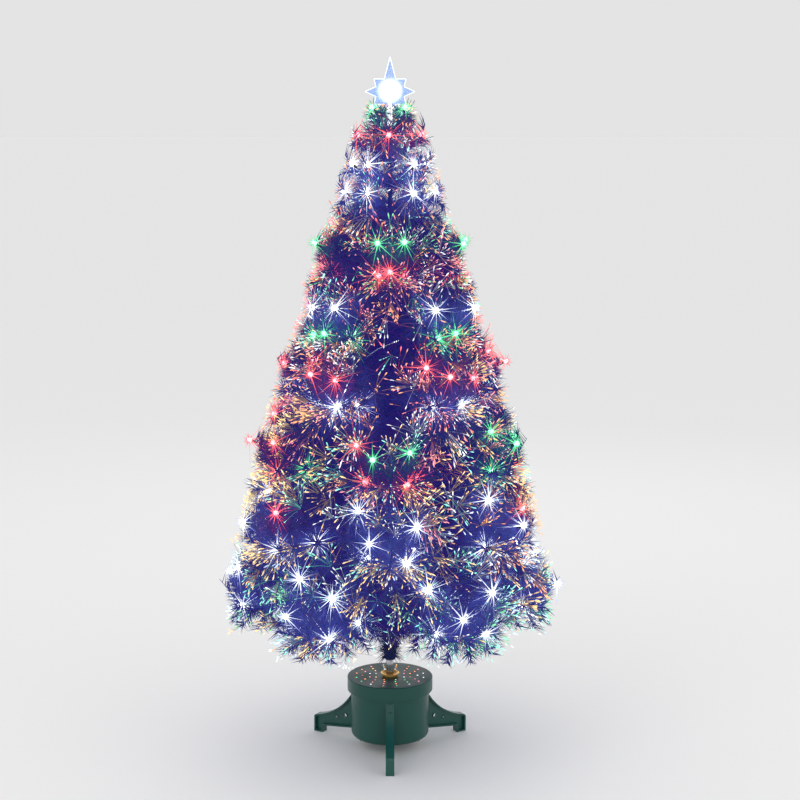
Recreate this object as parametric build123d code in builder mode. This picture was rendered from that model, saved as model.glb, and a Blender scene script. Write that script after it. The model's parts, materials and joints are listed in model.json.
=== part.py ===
from build123d import *

import math
import os

# Pre-lit fibre tree, 1.8 m tall, on a round light housing with three legs.
# The origin is on the floor, on the trunk's axis. +Z is up, and the front leg points to -Y.
# Lengths are millimetres and angles are degrees.

# Clearances that several pieces share
slide_gap = 0.3
running_gap = 0.05
cut_overrun = 2.0

# Light housing
bowl_radius = 102.5
bowl_wall = 3.0
bowl_floor_z = 30.0
bowl_edge_radius = 12.0
bowl_rim_thickness = 3.0
bowl_lip_width = 8.5
lid_radius = 112.5
lid_wall = 3.0
lid_height = 35.0
lid_top_z = 191.0
lid_edge_radius = 2.0
lid_hole_radius = 2.3
lid_ring_radii = (40.0, 55.0, 73.0, 90.0)
lid_ring_counts = (8, 12, 14, 16)

# Bottom plate and its screws
plate_thickness = 3.0
plate_slot_length = 22.0
plate_slot_width = 4.0
plate_slot_count = 12
plate_slot_radius = 55.0
plate_screw_count = 3
screw_radius = 1.5
screw_head_radius = 4.0
screw_head_height = 5.0
screw_past_nut = 4.0

# Legs
leg_angles = (-90.0, 150.0, 30.0)
leg_names = ("leg_front", "leg_left", "leg_right")
foot_radius = 232.0
foot_length = 27.0
foot_height = 48.0
foot_corner_radius = 8.0
foot_inner_height = 19.0
leg_root_low_z = 30.0
leg_root_top_z = 150.0
leg_arc_radius = 166.0
leg_rim_width = 22.0
leg_rim_thickness = 4.0
leg_web_thickness = 4.0
leg_hole_radii = (5.0, 3.6)
leg_hole_places = ((138.0, 57.0), (166.0, 48.0))
leg_hole_ring = 1.8
leg_hole_ring_width = 8.0
leg_boss_radius = 5.0
leg_boss_length = 14.0
leg_screw_heights = (62.0, 122.0)
leg_screw_radius = 2.0
leg_screw_head_radius = 4.0
leg_screw_head_height = 2.5

# Light source inside the housing
holder_foot_length = 46.0
holder_foot_width = 20.0
holder_foot_thickness = 3.0
holder_post_length = 24.0
holder_post_width = 16.0
holder_top_z = 92.0
lamp_neck_radius = 8.0
lamp_neck_height = 8.0
lamp_radius = 25.0
lamp_height = 42.0
lamp_belly_share = 2 / 3
lamp_rim_height = 4.0
wheel_radius = 60.0
wheel_offset = 36.0
wheel_z = 142.0
wheel_thickness = 2.0
wheel_hub_radius = 5.0
wheel_hub_height = 6.0
motor_radius = 21.0
motor_height = 16.0
motor_gap = 6.0
motor_ear_spacing = 56.0
motor_ear_width = 10.0
motor_ear_thickness = 2.0
motor_shaft_radius = 2.0
motor_shaft_past_wheel = 1.5
motor_boss_radius = 4.5
jack_radius = 5.5
jack_flange_radius = 7.5
jack_flange_thickness = 2.0
jack_length = 15.0
jack_bore_radius = 2.75
jack_bore_depth = 9.5
jack_pin_radius = 1.0
jack_z = 70.0

# Trunk
pole_radius = 9.5
pole_wall = 1.2
pole_split_z = 860.0
pole_spigot_length = 60.0
pole_shoulder = 3.0
pole_top_z = 1392.0
socket_wall = 1.6
socket_bottom_z = 150.0
socket_lip_width = 1.0
dish_radius = 24.6
dish_foot_radius = 17.0
dish_height = 8.0
core_radius = 6.3
ferrule_length = 25.0
wrap_radius = 20.0
wrap_gap = 1.0
wrap_low_z = 236.0
wrap_edge = 3.0

# Hinges of the branches
hinge_radius = 34.0
pin_radius = 2.0
pin_length = 16.0
eye_radius = 6.0
collar_radius = 42.0
collar_height = 16.0
collar_slot_inner_radius = 26.0
stem_width = 6.0
stem_height = 6.0

# Tiers of hinged branches, from the lowest: height of the hinges, radius at the fibre ends,
# how many, rest angle above level, and turn about the trunk
tier_heights = (430.0, 598.0, 762.0, 922.0, 1076.0, 1224.0)
tier_tip_radii = (430.0, 398.0, 350.0, 302.0, 258.0, 196.0)
tier_counts = (6, 6, 5, 5, 4, 4)
tier_slopes = (-8.0, -5.0, -1.0, 3.0, 7.0, 12.0)
tier_turns = (0.0, 30.0, 54.0, 18.0, 45.0, 0.0)
tier_twig_pairs = (4, 4, 4, 4, 3, 3)
fold_angle = 65.0

# Foliage of a branch
foliage_thickness = 16.0
foliage_start = 46.0
foliage_root_width = 26.0
foliage_tip_width = 13.0
twig_root_width = 24.0
twig_tip_width = 11.0
twig_spread = 42.0
twig_side_gap = 9.0
twig_sides = (-1, 1)
twig_place_shares = (0.12, 0.36, 0.58, 0.78)
twig_room_shares = (1.0, 0.85, 0.62, 0.38)
stem_reach_share = 0.85

# Fibre ends and bulbs on the foliage
strand_length = 30.0
strand_root_width = 2.4
strand_tip_width = 1.0
strand_embed = 4.0
tip_fan_angles = (-30.0, -10.0, 10.0, 30.0)
bulb_holder_length = 12.0
bulb_holder_width = 6.0
bulb_lens_length = 9.0
bulb_lens_width = 4.6
bulb_lens_taper = 7.0
bulb_place_share = 0.5
branch_bulb_count = 6

# Fixed top of the tree: height of each level, radius at the fibre ends, how many, slope, turn
leader_radius = 4.0
leader_plug_length = 22.0
leader_top_z = 1672.0
top_heights = (1414.0, 1474.0, 1536.0, 1594.0)
top_tip_radii = (142.0, 124.0, 106.0, 74.0)
top_counts = (6, 5, 5, 4)
top_slopes = (18.0, 26.0, 35.0, 50.0)
top_turns = (0.0, 20.0, 52.0, 40.0)
top_hub_radius = 10.0
top_hub_sides = 8
top_hub_overrun = 16.0
top_thickness = 10.0
top_root_width = 14.0
top_tip_width = 8.0
top_fan_angles = (-22.0, 0.0, 22.0)

# Star
star_centre_z = 1714.0
star_top = 85.0
star_side = 62.5
star_bottom = 50.0
star_corner_x = 40.0
star_corner_z = 31.0
star_notch_x = 14.0
star_notch_z = 12.0
star_side_notch_x = 35.0
star_depth = 15.0
star_wall = 1.5
star_peak_share = 0.03
star_sleeve_wall = 2.0
star_sleeve_length = 44.0
star_lamp_radius = 4.0
star_lamp_height = 20.0

os.makedirs("parts", exist_ok=True)


def write_piece(part, name):
    """Label a finished piece and write its file."""
    part.label = name
    export_step(part, f"parts/{name}.step")


def upright_plane(angle):
    """The plane through the trunk's axis whose X points outwards at this angle and whose Y is up."""
    outward = Vector(1, 0, 0).rotate(Axis.Z, angle)
    return Plane(origin=(0, 0, 0), x_dir=outward, z_dir=outward.cross(Vector(0, 0, 1)))


# Sizes that follow from the ones above
bowl_inner_radius = bowl_radius - bowl_wall
bowl_top_z = lid_top_z - lid_wall
lid_low_z = lid_top_z - lid_height
lid_inner_radius = lid_radius - lid_wall
lip_inner_radius = bowl_radius - bowl_edge_radius - bowl_lip_width
plate_radius = bowl_radius - bowl_edge_radius - slide_gap
plate_low_z = bowl_floor_z + bowl_wall
plate_top_z = plate_low_z + plate_thickness
plate_screw_circle = (lip_inner_radius + plate_radius) / 2
motor_low_z = wheel_z + wheel_thickness + wheel_hub_height + motor_gap
motor_ear_z = motor_low_z + motor_height - motor_ear_thickness
motor_top_z = motor_low_z + motor_height
socket_inner_radius = pole_radius + slide_gap
socket_outer_radius = socket_inner_radius + socket_wall
pole_bottom_z = socket_bottom_z + socket_wall + slide_gap
pole_bore_radius = pole_radius - pole_wall
core_top_z = pole_top_z - leader_plug_length - slide_gap
leg_inner_radius = bowl_radius + slide_gap
collar_bore_radius = pole_radius + running_gap
slot_width = stem_width + 2 * slide_gap

# Bowl of the housing, open on top, with a rim under the lid and a lip that carries the plate
with BuildPart() as base_bowl:
    with BuildSketch(Plane.XY.offset(bowl_floor_z)):
        Circle(bowl_radius)
    extrude(amount=bowl_top_z - bowl_floor_z)
    fillet(base_bowl.faces().sort_by(Axis.Z)[0].edges(), bowl_edge_radius)
    offset(amount=-bowl_wall, openings=base_bowl.faces().sort_by(Axis.Z)[-1])
    with BuildSketch(Plane.XY.offset(bowl_top_z - bowl_rim_thickness)):
        Circle(lid_inner_radius - slide_gap)
        Circle(bowl_inner_radius, mode=Mode.SUBTRACT)
    extrude(amount=bowl_rim_thickness)
    with BuildSketch(Plane.XY.offset(bowl_floor_z - cut_overrun)):
        Circle(lip_inner_radius)
    extrude(amount=bowl_wall + 2 * cut_overrun, mode=Mode.SUBTRACT)
    with BuildSketch(Plane.XY.offset(bowl_floor_z - cut_overrun)):
        with PolarLocations(plate_screw_circle, plate_screw_count, start_angle=90):
            Circle(screw_radius + running_gap)
    extrude(amount=bowl_wall + 2 * cut_overrun, mode=Mode.SUBTRACT)
    for angle in leg_angles:
        with BuildSketch(upright_plane(angle + 90).offset(bowl_inner_radius - cut_overrun)):
            with Locations(*[(0, z) for z in leg_screw_heights]):
                Circle(leg_screw_radius + running_gap)
        extrude(amount=bowl_wall + 2 * cut_overrun, mode=Mode.SUBTRACT)
    with BuildSketch(Plane.XZ.offset(-bowl_radius - cut_overrun)):
        with Locations((0, jack_z)):
            Circle(jack_radius + running_gap)
    extrude(amount=bowl_wall + 2 * cut_overrun, mode=Mode.SUBTRACT)
write_piece(base_bowl.part, "base_bowl")

# Perforated lid with the two bosses that the motor hangs from
with BuildPart() as base_lid:
    with BuildSketch(Plane.XY.offset(lid_low_z)):
        Circle(lid_radius)
    extrude(amount=lid_height)
    fillet(base_lid.faces().sort_by(Axis.Z)[-1].edges(), lid_edge_radius)
    with BuildSketch(Plane.XY.offset(lid_low_z)):
        Circle(lid_inner_radius)
    extrude(amount=lid_height - lid_wall, mode=Mode.SUBTRACT)
    with BuildSketch(Plane.XY.offset(motor_top_z)):
        with Locations(*[(side * motor_ear_spacing / 2, wheel_offset) for side in (-1, 1)]):
            Circle(motor_boss_radius)
    extrude(amount=lid_top_z - lid_wall - motor_top_z)
    with BuildSketch(Plane.XY.offset(motor_top_z)):
        with Locations(*[(side * motor_ear_spacing / 2, wheel_offset) for side in (-1, 1)]):
            Circle(screw_radius + running_gap)
    extrude(amount=lid_top_z - lid_wall - motor_top_z, mode=Mode.SUBTRACT)
    with BuildSketch(Plane.XY.offset(lid_top_z - lid_wall - cut_overrun)):
        Circle(socket_outer_radius + slide_gap)
        for radius, count in zip(lid_ring_radii, lid_ring_counts):
            with PolarLocations(radius, count, start_angle=-90 + 180 / count):
                Circle(lid_hole_radius)
    extrude(amount=lid_wall + 2 * cut_overrun, mode=Mode.SUBTRACT)
write_piece(base_lid.part, "base_lid")

# Vented plate on the bowl's lip
with BuildPart() as bottom_plate:
    with BuildSketch(Plane.XY.offset(plate_low_z)):
        Circle(plate_radius)
        with PolarLocations(plate_slot_radius, plate_slot_count):
            SlotOverall(plate_slot_length, plate_slot_width, mode=Mode.SUBTRACT)
        with PolarLocations(plate_screw_circle, plate_screw_count, start_angle=90):
            Circle(screw_radius + running_gap, mode=Mode.SUBTRACT)
    extrude(amount=plate_thickness)
write_piece(bottom_plate.part, "bottom_plate")


def leg_at(angle):
    """One I-section leg: a web inside a rim, two ringed holes and two bosses for its screws."""
    side = upright_plane(angle)
    inner = leg_inner_radius - cut_overrun
    shoulder = foot_radius - foot_corner_radius
    with BuildPart() as leg:
        with BuildSketch(side) as outline:
            with BuildLine():
                Polyline(
                    (inner, leg_root_top_z),
                    (inner, leg_root_low_z),
                    (foot_radius - foot_length, foot_inner_height),
                    (foot_radius - foot_length, 0),
                    (foot_radius, 0),
                    (foot_radius, foot_height - foot_corner_radius),
                )
                RadiusArc(
                    (foot_radius, foot_height - foot_corner_radius),
                    (shoulder, foot_height),
                    -foot_corner_radius,
                )
                RadiusArc((shoulder, foot_height), (inner, leg_root_top_z), leg_arc_radius)
            make_face()
        extrude(amount=leg_rim_width / 2, both=True)
        with BuildSketch(side) as pocket:
            add(outline.sketch_local)
            offset(amount=-leg_rim_thickness, mode=Mode.REPLACE)
        extrude(amount=leg_rim_width / 2 + cut_overrun, both=True, mode=Mode.SUBTRACT)
        extrude(pocket.sketch, amount=leg_web_thickness / 2, both=True)
        with BuildSketch(side):
            for place, radius in zip(leg_hole_places, leg_hole_radii):
                with Locations(place):
                    Circle(radius + leg_hole_ring)
        extrude(amount=leg_hole_ring_width / 2, both=True)
        with BuildSketch(side):
            for place, radius in zip(leg_hole_places, leg_hole_radii):
                with Locations(place):
                    Circle(radius)
        extrude(amount=leg_hole_ring_width, both=True, mode=Mode.SUBTRACT)
        facing = upright_plane(angle + 90)
        with BuildSketch(facing.offset(inner)):
            with Locations(*[(0, z) for z in leg_screw_heights]):
                Circle(leg_boss_radius)
        extrude(amount=leg_boss_length + cut_overrun)
        with BuildSketch(facing.offset(inner)):
            with Locations(*[(0, z) for z in leg_screw_heights]):
                Circle(leg_screw_radius + running_gap)
        extrude(amount=leg_boss_length, mode=Mode.SUBTRACT)
        with BuildSketch(Plane.XY):
            Circle(leg_inner_radius)
        extrude(amount=lid_top_z, mode=Mode.SUBTRACT)
    return leg.part


for leg_name, leg_angle in zip(leg_names, leg_angles):
    write_piece(leg_at(leg_angle), leg_name)

# Screws of the plate, the legs and the motor
with BuildPart() as housing_screws:
    with BuildSketch(Plane.XY.offset(bowl_floor_z - screw_head_height)):
        with PolarLocations(plate_screw_circle, plate_screw_count, start_angle=90):
            Circle(screw_head_radius)
    extrude(amount=screw_head_height)
    with BuildSketch(Plane.XY.offset(bowl_floor_z)):
        with PolarLocations(plate_screw_circle, plate_screw_count, start_angle=90):
            Circle(screw_radius)
    extrude(amount=bowl_wall + plate_thickness + screw_past_nut)
    for angle in leg_angles:
        facing = upright_plane(angle + 90)
        with BuildSketch(facing.offset(bowl_inner_radius - slide_gap)):
            with Locations(*[(0, z) for z in leg_screw_heights]):
                Circle(leg_screw_head_radius)
        extrude(amount=-leg_screw_head_height)
        with BuildSketch(facing.offset(bowl_inner_radius - slide_gap)):
            with Locations(*[(0, z) for z in leg_screw_heights]):
                Circle(leg_screw_radius)
        extrude(amount=bowl_wall + leg_boss_length / 2)
    with BuildSketch(Plane.XY.offset(motor_ear_z)):
        with Locations(*[(side * motor_ear_spacing / 2, wheel_offset) for side in (-1, 1)]):
            Circle(screw_head_radius)
    extrude(amount=-screw_head_height / 2)
    with BuildSketch(Plane.XY.offset(motor_ear_z)):
        with Locations(*[(side * motor_ear_spacing / 2, wheel_offset) for side in (-1, 1)]):
            Circle(screw_radius)
    extrude(amount=motor_ear_thickness + screw_past_nut)
write_piece(housing_screws.part, "housing_screws")

# Dish on the lid, with the tube that takes the pole and a lip that the pole stands on
with BuildPart() as pole_socket:
    with BuildSketch(Plane.XZ):
        with BuildLine():
            Polyline(
                (socket_inner_radius - socket_lip_width, socket_bottom_z),
                (socket_outer_radius, socket_bottom_z),
                (socket_outer_radius, lid_top_z),
                (dish_foot_radius, lid_top_z),
                (dish_radius, lid_top_z + dish_height),
                (dish_radius - socket_wall, lid_top_z + dish_height),
                (dish_foot_radius - socket_wall / 2, lid_top_z + socket_wall),
                (socket_inner_radius, lid_top_z + socket_wall),
                (socket_inner_radius, socket_bottom_z + socket_wall),
                (socket_inner_radius - socket_lip_width, socket_bottom_z + socket_wall),
                close=True,
            )
        make_face()
    revolve(axis=Axis.Z)
write_piece(pole_socket.part, "pole_socket")

# Lamp holder on the plate, and the reflector lamp in it
with BuildPart() as lamp_holder:
    with BuildSketch(Plane.XY.offset(plate_top_z)):
        Rectangle(holder_foot_length, holder_foot_width)
    extrude(amount=holder_foot_thickness)
    with BuildSketch(Plane.XY.offset(plate_top_z)):
        Rectangle(holder_post_length, holder_post_width)
    extrude(amount=holder_top_z - plate_top_z)
write_piece(lamp_holder.part, "lamp_holder")

lamp_top_z = holder_top_z + lamp_height
with BuildPart() as lamp:
    with BuildSketch(Plane.XZ):
        with BuildLine():
            Polyline(
                (lamp_radius, lamp_top_z - lamp_rim_height),
                (lamp_radius, lamp_top_z),
                (0, lamp_top_z),
                (0, holder_top_z),
                (lamp_neck_radius, holder_top_z),
                (lamp_neck_radius, holder_top_z + lamp_neck_height),
            )
            ThreePointArc(
                (lamp_neck_radius, holder_top_z + lamp_neck_height),
                (
                    lamp_neck_radius + lamp_belly_share * (lamp_radius - lamp_neck_radius),
                    lamp_top_z - lamp_belly_share * (lamp_height - lamp_neck_height),
                ),
                (lamp_radius, lamp_top_z - lamp_rim_height),
            )
        make_face()
    revolve(axis=Axis.Z)
write_piece(lamp.part, "lamp")

# Colour wheel, which covers the lamp and turns on the motor's shaft
wheel_plane = Plane.XY.offset(wheel_z).move(Location((0, wheel_offset, 0)))
with BuildPart() as colour_wheel:
    with BuildSketch(wheel_plane):
        Circle(wheel_radius)
    extrude(amount=wheel_thickness)
    with BuildSketch(wheel_plane):
        Circle(wheel_hub_radius)
    extrude(amount=wheel_thickness + wheel_hub_height)
    with BuildSketch(wheel_plane):
        Circle(motor_shaft_radius + running_gap)
    extrude(amount=wheel_thickness + wheel_hub_height, mode=Mode.SUBTRACT)
write_piece(colour_wheel.part, "colour_wheel")

motor_plane = wheel_plane.offset(motor_low_z - wheel_z)
with BuildPart() as wheel_motor:
    with BuildSketch(motor_plane):
        Circle(motor_radius)
    extrude(amount=motor_height)
    with BuildSketch(motor_plane.offset(motor_height - motor_ear_thickness)):
        SlotCenterToCenter(motor_ear_spacing, motor_ear_width)
        with Locations(*[(side * motor_ear_spacing / 2, 0) for side in (-1, 1)]):
            Circle(screw_radius + running_gap, mode=Mode.SUBTRACT)
    extrude(amount=motor_ear_thickness)
    with BuildSketch(wheel_plane.offset(-motor_shaft_past_wheel)):
        Circle(motor_shaft_radius)
    extrude(amount=motor_low_z - wheel_z + motor_shaft_past_wheel)
write_piece(wheel_motor.part, "wheel_motor")

# Power jack through the back of the bowl
jack_face_y = bowl_radius + slide_gap + jack_flange_thickness
jack_plane = Plane(origin=(0, jack_face_y, jack_z), x_dir=(1, 0, 0), z_dir=(0, 1, 0))
with BuildPart() as power_jack:
    with BuildSketch(jack_plane):
        Circle(jack_flange_radius)
    extrude(amount=-jack_flange_thickness)
    with BuildSketch(jack_plane):
        Circle(jack_radius)
    extrude(amount=-jack_length)
    with BuildSketch(jack_plane):
        Circle(jack_bore_radius)
        Circle(jack_pin_radius, mode=Mode.SUBTRACT)
    extrude(amount=-jack_bore_depth, mode=Mode.SUBTRACT)
write_piece(power_jack.part, "power_jack")

# Two-piece pole, with the fibre bundle and its ferrule inside
with BuildPart() as pole_lower:
    with BuildSketch(Plane.XY.offset(pole_bottom_z)):
        Circle(pole_radius)
        Circle(pole_bore_radius, mode=Mode.SUBTRACT)
    extrude(amount=pole_split_z - pole_bottom_z)
write_piece(pole_lower.part, "pole_lower")

spigot_radius = pole_bore_radius - slide_gap
with BuildPart() as pole_upper:
    with BuildSketch(Plane.XY.offset(pole_split_z)):
        Circle(pole_radius)
    extrude(amount=pole_top_z - pole_split_z)
    with BuildSketch(Plane.XY.offset(pole_split_z - pole_spigot_length)):
        Circle(spigot_radius)
    extrude(amount=pole_spigot_length)
    with BuildSketch(Plane.XY.offset(pole_split_z + pole_shoulder)):
        Circle(pole_bore_radius)
    extrude(amount=pole_top_z - pole_split_z, mode=Mode.SUBTRACT)
    with BuildSketch(Plane.XY.offset(pole_split_z - pole_spigot_length)):
        Circle(spigot_radius - pole_wall)
    extrude(amount=pole_spigot_length + pole_shoulder, mode=Mode.SUBTRACT)
write_piece(pole_upper.part, "pole_upper")

with BuildPart() as fibre_ferrule:
    with BuildSketch(Plane.XY.offset(pole_bottom_z)):
        Circle(pole_bore_radius - running_gap)
        Circle(core_radius + running_gap, mode=Mode.SUBTRACT)
    extrude(amount=ferrule_length)
write_piece(fibre_ferrule.part, "fibre_ferrule")

with BuildPart() as fibre_core:
    with BuildSketch(Plane.XY.offset(pole_bottom_z)):
        Circle(core_radius)
    extrude(amount=core_top_z - pole_bottom_z)
write_piece(fibre_core.part, "fibre_core")

# Sleeves of foliage wound round the pole, between the collars
wrap_starts = [wrap_low_z] + [z + collar_height / 2 + wrap_gap for z in tier_heights]
wrap_ends = [z - collar_height / 2 - wrap_gap for z in tier_heights] + [pole_top_z]
with BuildPart() as trunk_wrap:
    for start, end in zip(wrap_starts, wrap_ends):
        with BuildSketch(Plane.XZ):
            with BuildLine():
                Polyline(
                    (collar_bore_radius, start),
                    (wrap_radius - wrap_edge, start),
                    (wrap_radius, start + wrap_edge),
                    (wrap_radius, end - wrap_edge),
                    (wrap_radius - wrap_edge, end),
                    (collar_bore_radius, end),
                    close=True,
                )
            make_face()
        revolve(axis=Axis.Z)
write_piece(trunk_wrap.part, "trunk_wrap")


def station_angles(count, turn):
    """The directions of a tier's branches about the trunk."""
    return [turn + 360 * i / count for i in range(count)]


def collar_at(height, count, turn):
    """A collar with an open-topped slot and a drilled pin hole for each branch."""
    low = height - collar_height / 2
    with BuildPart() as collar:
        with BuildSketch(Plane.XY.offset(low)):
            Circle(collar_radius)
            Circle(collar_bore_radius, mode=Mode.SUBTRACT)
        extrude(amount=collar_height)
        with BuildSketch(Plane.XY.offset(height - eye_radius - slide_gap)):
            with PolarLocations(0, count, start_angle=turn):
                with Locations(((collar_slot_inner_radius + collar_radius) / 2 + cut_overrun / 2, 0)):
                    Rectangle(collar_radius - collar_slot_inner_radius + cut_overrun, slot_width)
        extrude(amount=collar_height, mode=Mode.SUBTRACT)
        for angle in station_angles(count, turn):
            across = upright_plane(angle).offset(-pin_length / 2)
            with BuildSketch(across):
                with Locations((hinge_radius, height)):
                    Circle(pin_radius + running_gap)
            extrude(amount=collar_radius, mode=Mode.SUBTRACT)
    return collar.part


for tier, (height, count, turn) in enumerate(zip(tier_heights, tier_counts, tier_turns), 1):
    write_piece(collar_at(height, count, turn), f"branch_collar_{tier}")

with BuildPart() as hinge_pins:
    for height, count, turn in zip(tier_heights, tier_counts, tier_turns):
        for angle in station_angles(count, turn):
            with BuildSketch(upright_plane(angle).offset(-pin_length / 2)):
                with Locations((hinge_radius, height)):
                    Circle(pin_radius)
            extrude(amount=pin_length)
write_piece(hinge_pins.part, "hinge_pins")

# One fibre end, pointing along X from the origin, and one bulb that lies along X on the ground plane
with BuildPart() as strand:
    with BuildSketch(Plane.YZ.offset(-strand_embed)):
        Rectangle(strand_root_width, strand_root_width)
    with BuildSketch(Plane.YZ.offset(strand_length)):
        Rectangle(strand_tip_width, strand_tip_width)
    loft(ruled=True)

with BuildPart() as bulb:
    with BuildSketch(Plane.YZ):
        with Locations((0, bulb_holder_width / 2)):
            RegularPolygon(bulb_holder_width / 2, 6, major_radius=False)
    extrude(amount=-bulb_holder_length)
    with BuildSketch(Plane.YZ):
        with Locations((0, bulb_holder_width / 2)):
            RegularPolygon(bulb_lens_width / 2, 6, major_radius=False)
    extrude(amount=bulb_lens_length, taper=bulb_lens_taper)


def taper_outline(start, angle, length, root_width, tip_width):
    """The four corners of a tapered strip that leaves a point of the sketch at an angle."""
    along = Vector(1, 0, 0).rotate(Axis.Z, angle)
    across = along.rotate(Axis.Z, 90)
    root, tip = Vector(*start), Vector(*start) + along * length
    corners = (
        root - across * (root_width / 2),
        tip - across * (tip_width / 2),
        tip + across * (tip_width / 2),
        root + across * (root_width / 2),
    )
    return [(corner.X, corner.Y) for corner in corners]


def twig_layout(reach, count, slope, pairs):
    """Start, angle and length of each side twig.

    A twig is no wider out than the branch's share of the folded tree, so neighbours fold together.
    """
    share_of_turn = math.tan(math.radians(180 / count))
    folded = math.cos(math.radians(slope + fold_angle))
    spread_sin = math.sin(math.radians(twig_spread))
    spread_cos = math.cos(math.radians(twig_spread))
    twigs = []
    for place, use in list(zip(twig_place_shares, twig_room_shares))[:pairs]:
        along = foliage_start + place * (reach - foliage_start)
        half_width = (hinge_radius + along * folded) * share_of_turn - twig_side_gap
        room = half_width / (spread_sin - spread_cos * folded * share_of_turn)
        for side in twig_sides:
            twigs.append(((along, 0), side * twig_spread, room * use - strand_length))
    return twigs


def branch_at(height, tip_radius, count, slope, turn, pairs):
    """The solids of one branch, at the tier's first station: stem, foliage with fibre ends, bulbs."""
    outward = Vector(1, 0, 0).rotate(Axis.Z, turn)
    aside = outward.rotate(Axis.Z, 90)
    along = outward.rotate(Axis(origin=(0, 0, 0), direction=aside), -slope)
    hinge = outward * hinge_radius + Vector(0, 0, height)
    flat = Plane(origin=hinge, x_dir=along, z_dir=along.cross(aside))
    side = Plane(origin=hinge, x_dir=along, z_dir=along.cross(flat.z_dir))
    level = Plane(origin=hinge, x_dir=outward, z_dir=side.z_dir)
    reach = tip_radius - hinge_radius - strand_length
    stem_reach = stem_reach_share * reach
    heel = collar_radius - hinge_radius + cut_overrun

    with BuildPart() as stem:
        with BuildSketch(level):
            Circle(eye_radius)
            Rectangle(heel, eye_radius, align=(Align.MIN, Align.MAX))
        extrude(amount=stem_width / 2, both=True)
        with BuildSketch(side):
            Rectangle(stem_reach, stem_height, align=(Align.MIN, Align.CENTER))
        extrude(amount=stem_width / 2, both=True)
        with BuildSketch(level):
            Circle(pin_radius + running_gap)
        extrude(amount=stem_width / 2 + cut_overrun, both=True, mode=Mode.SUBTRACT)

    twigs = twig_layout(reach, count, slope, pairs)
    strand_places = []
    for start, angle, length in twigs:
        direction = Vector(1, 0, 0).rotate(Axis.Z, angle)
        end = Vector(*start) + direction * length
        strand_places.append(Location((end.X, end.Y, 0), (0, 0, angle)))
    for i, angle in enumerate(tip_fan_angles):
        offset_y = (i + 0.5 - len(tip_fan_angles) / 2) * foliage_tip_width / len(tip_fan_angles)
        strand_places.append(Location((reach, offset_y, 0), (0, 0, angle)))
    with BuildPart(flat) as foliage:
        with BuildSketch(flat.offset(-foliage_thickness / 2)):
            main = taper_outline(
                (foliage_start, 0), 0, reach - foliage_start, foliage_root_width, foliage_tip_width
            )
            Polygon(*main, align=None)
            for start, angle, length in twigs:
                Polygon(*taper_outline(start, angle, length, twig_root_width, twig_tip_width), align=None)
        extrude(amount=foliage_thickness)
        with BuildSketch(flat.offset(-foliage_thickness / 2 - cut_overrun)):
            with Locations((foliage_start - cut_overrun, 0)):
                Rectangle(
                    stem_reach - foliage_start + cut_overrun + slide_gap,
                    slot_width,
                    align=(Align.MIN, Align.CENTER),
                )
        groove_depth = (foliage_thickness + stem_height) / 2 + cut_overrun
        extrude(amount=groove_depth, mode=Mode.SUBTRACT)
        with Locations(*strand_places):
            add(strand.part)

    bulbs = []
    seats = twigs[len(twig_sides) :]
    if len(seats) < branch_bulb_count:
        seats = seats + [((reach - foliage_root_width, 0), 0, foliage_root_width)]
    for start, angle, length in seats:
        direction = Vector(1, 0, 0).rotate(Axis.Z, angle)
        middle = Vector(*start) + direction * (length * bulb_place_share)
        seat = Location((middle.X, middle.Y, foliage_thickness / 2), (0, 0, angle))
        bulbs.append(bulb.part.moved(flat.location * seat))
    return Compound([solid for piece in (stem.part, foliage.part, *bulbs) for solid in piece.solids()])


for tier, (height, tip_radius, count, slope, turn, pairs) in enumerate(
    zip(tier_heights, tier_tip_radii, tier_counts, tier_slopes, tier_turns, tier_twig_pairs), 1
):
    first_branch = branch_at(height, tip_radius, count, slope, turn, pairs)
    for i in range(count):
        branch = first_branch.rotate(Axis.Z, 360 * i / count)
        write_piece(branch, f"branch_{tier}_{i + 1}")

# Rod in the top of the pole, which carries the fixed sprays and the star
with BuildPart() as leader_stem:
    with BuildSketch(Plane.XY.offset(pole_top_z - leader_plug_length)):
        Circle(pole_bore_radius - running_gap)
    extrude(amount=leader_plug_length)
    with BuildSketch(Plane.XY.offset(pole_top_z)):
        Circle(leader_radius)
    extrude(amount=leader_top_z - pole_top_z)
write_piece(leader_stem.part, "leader_stem")

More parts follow.
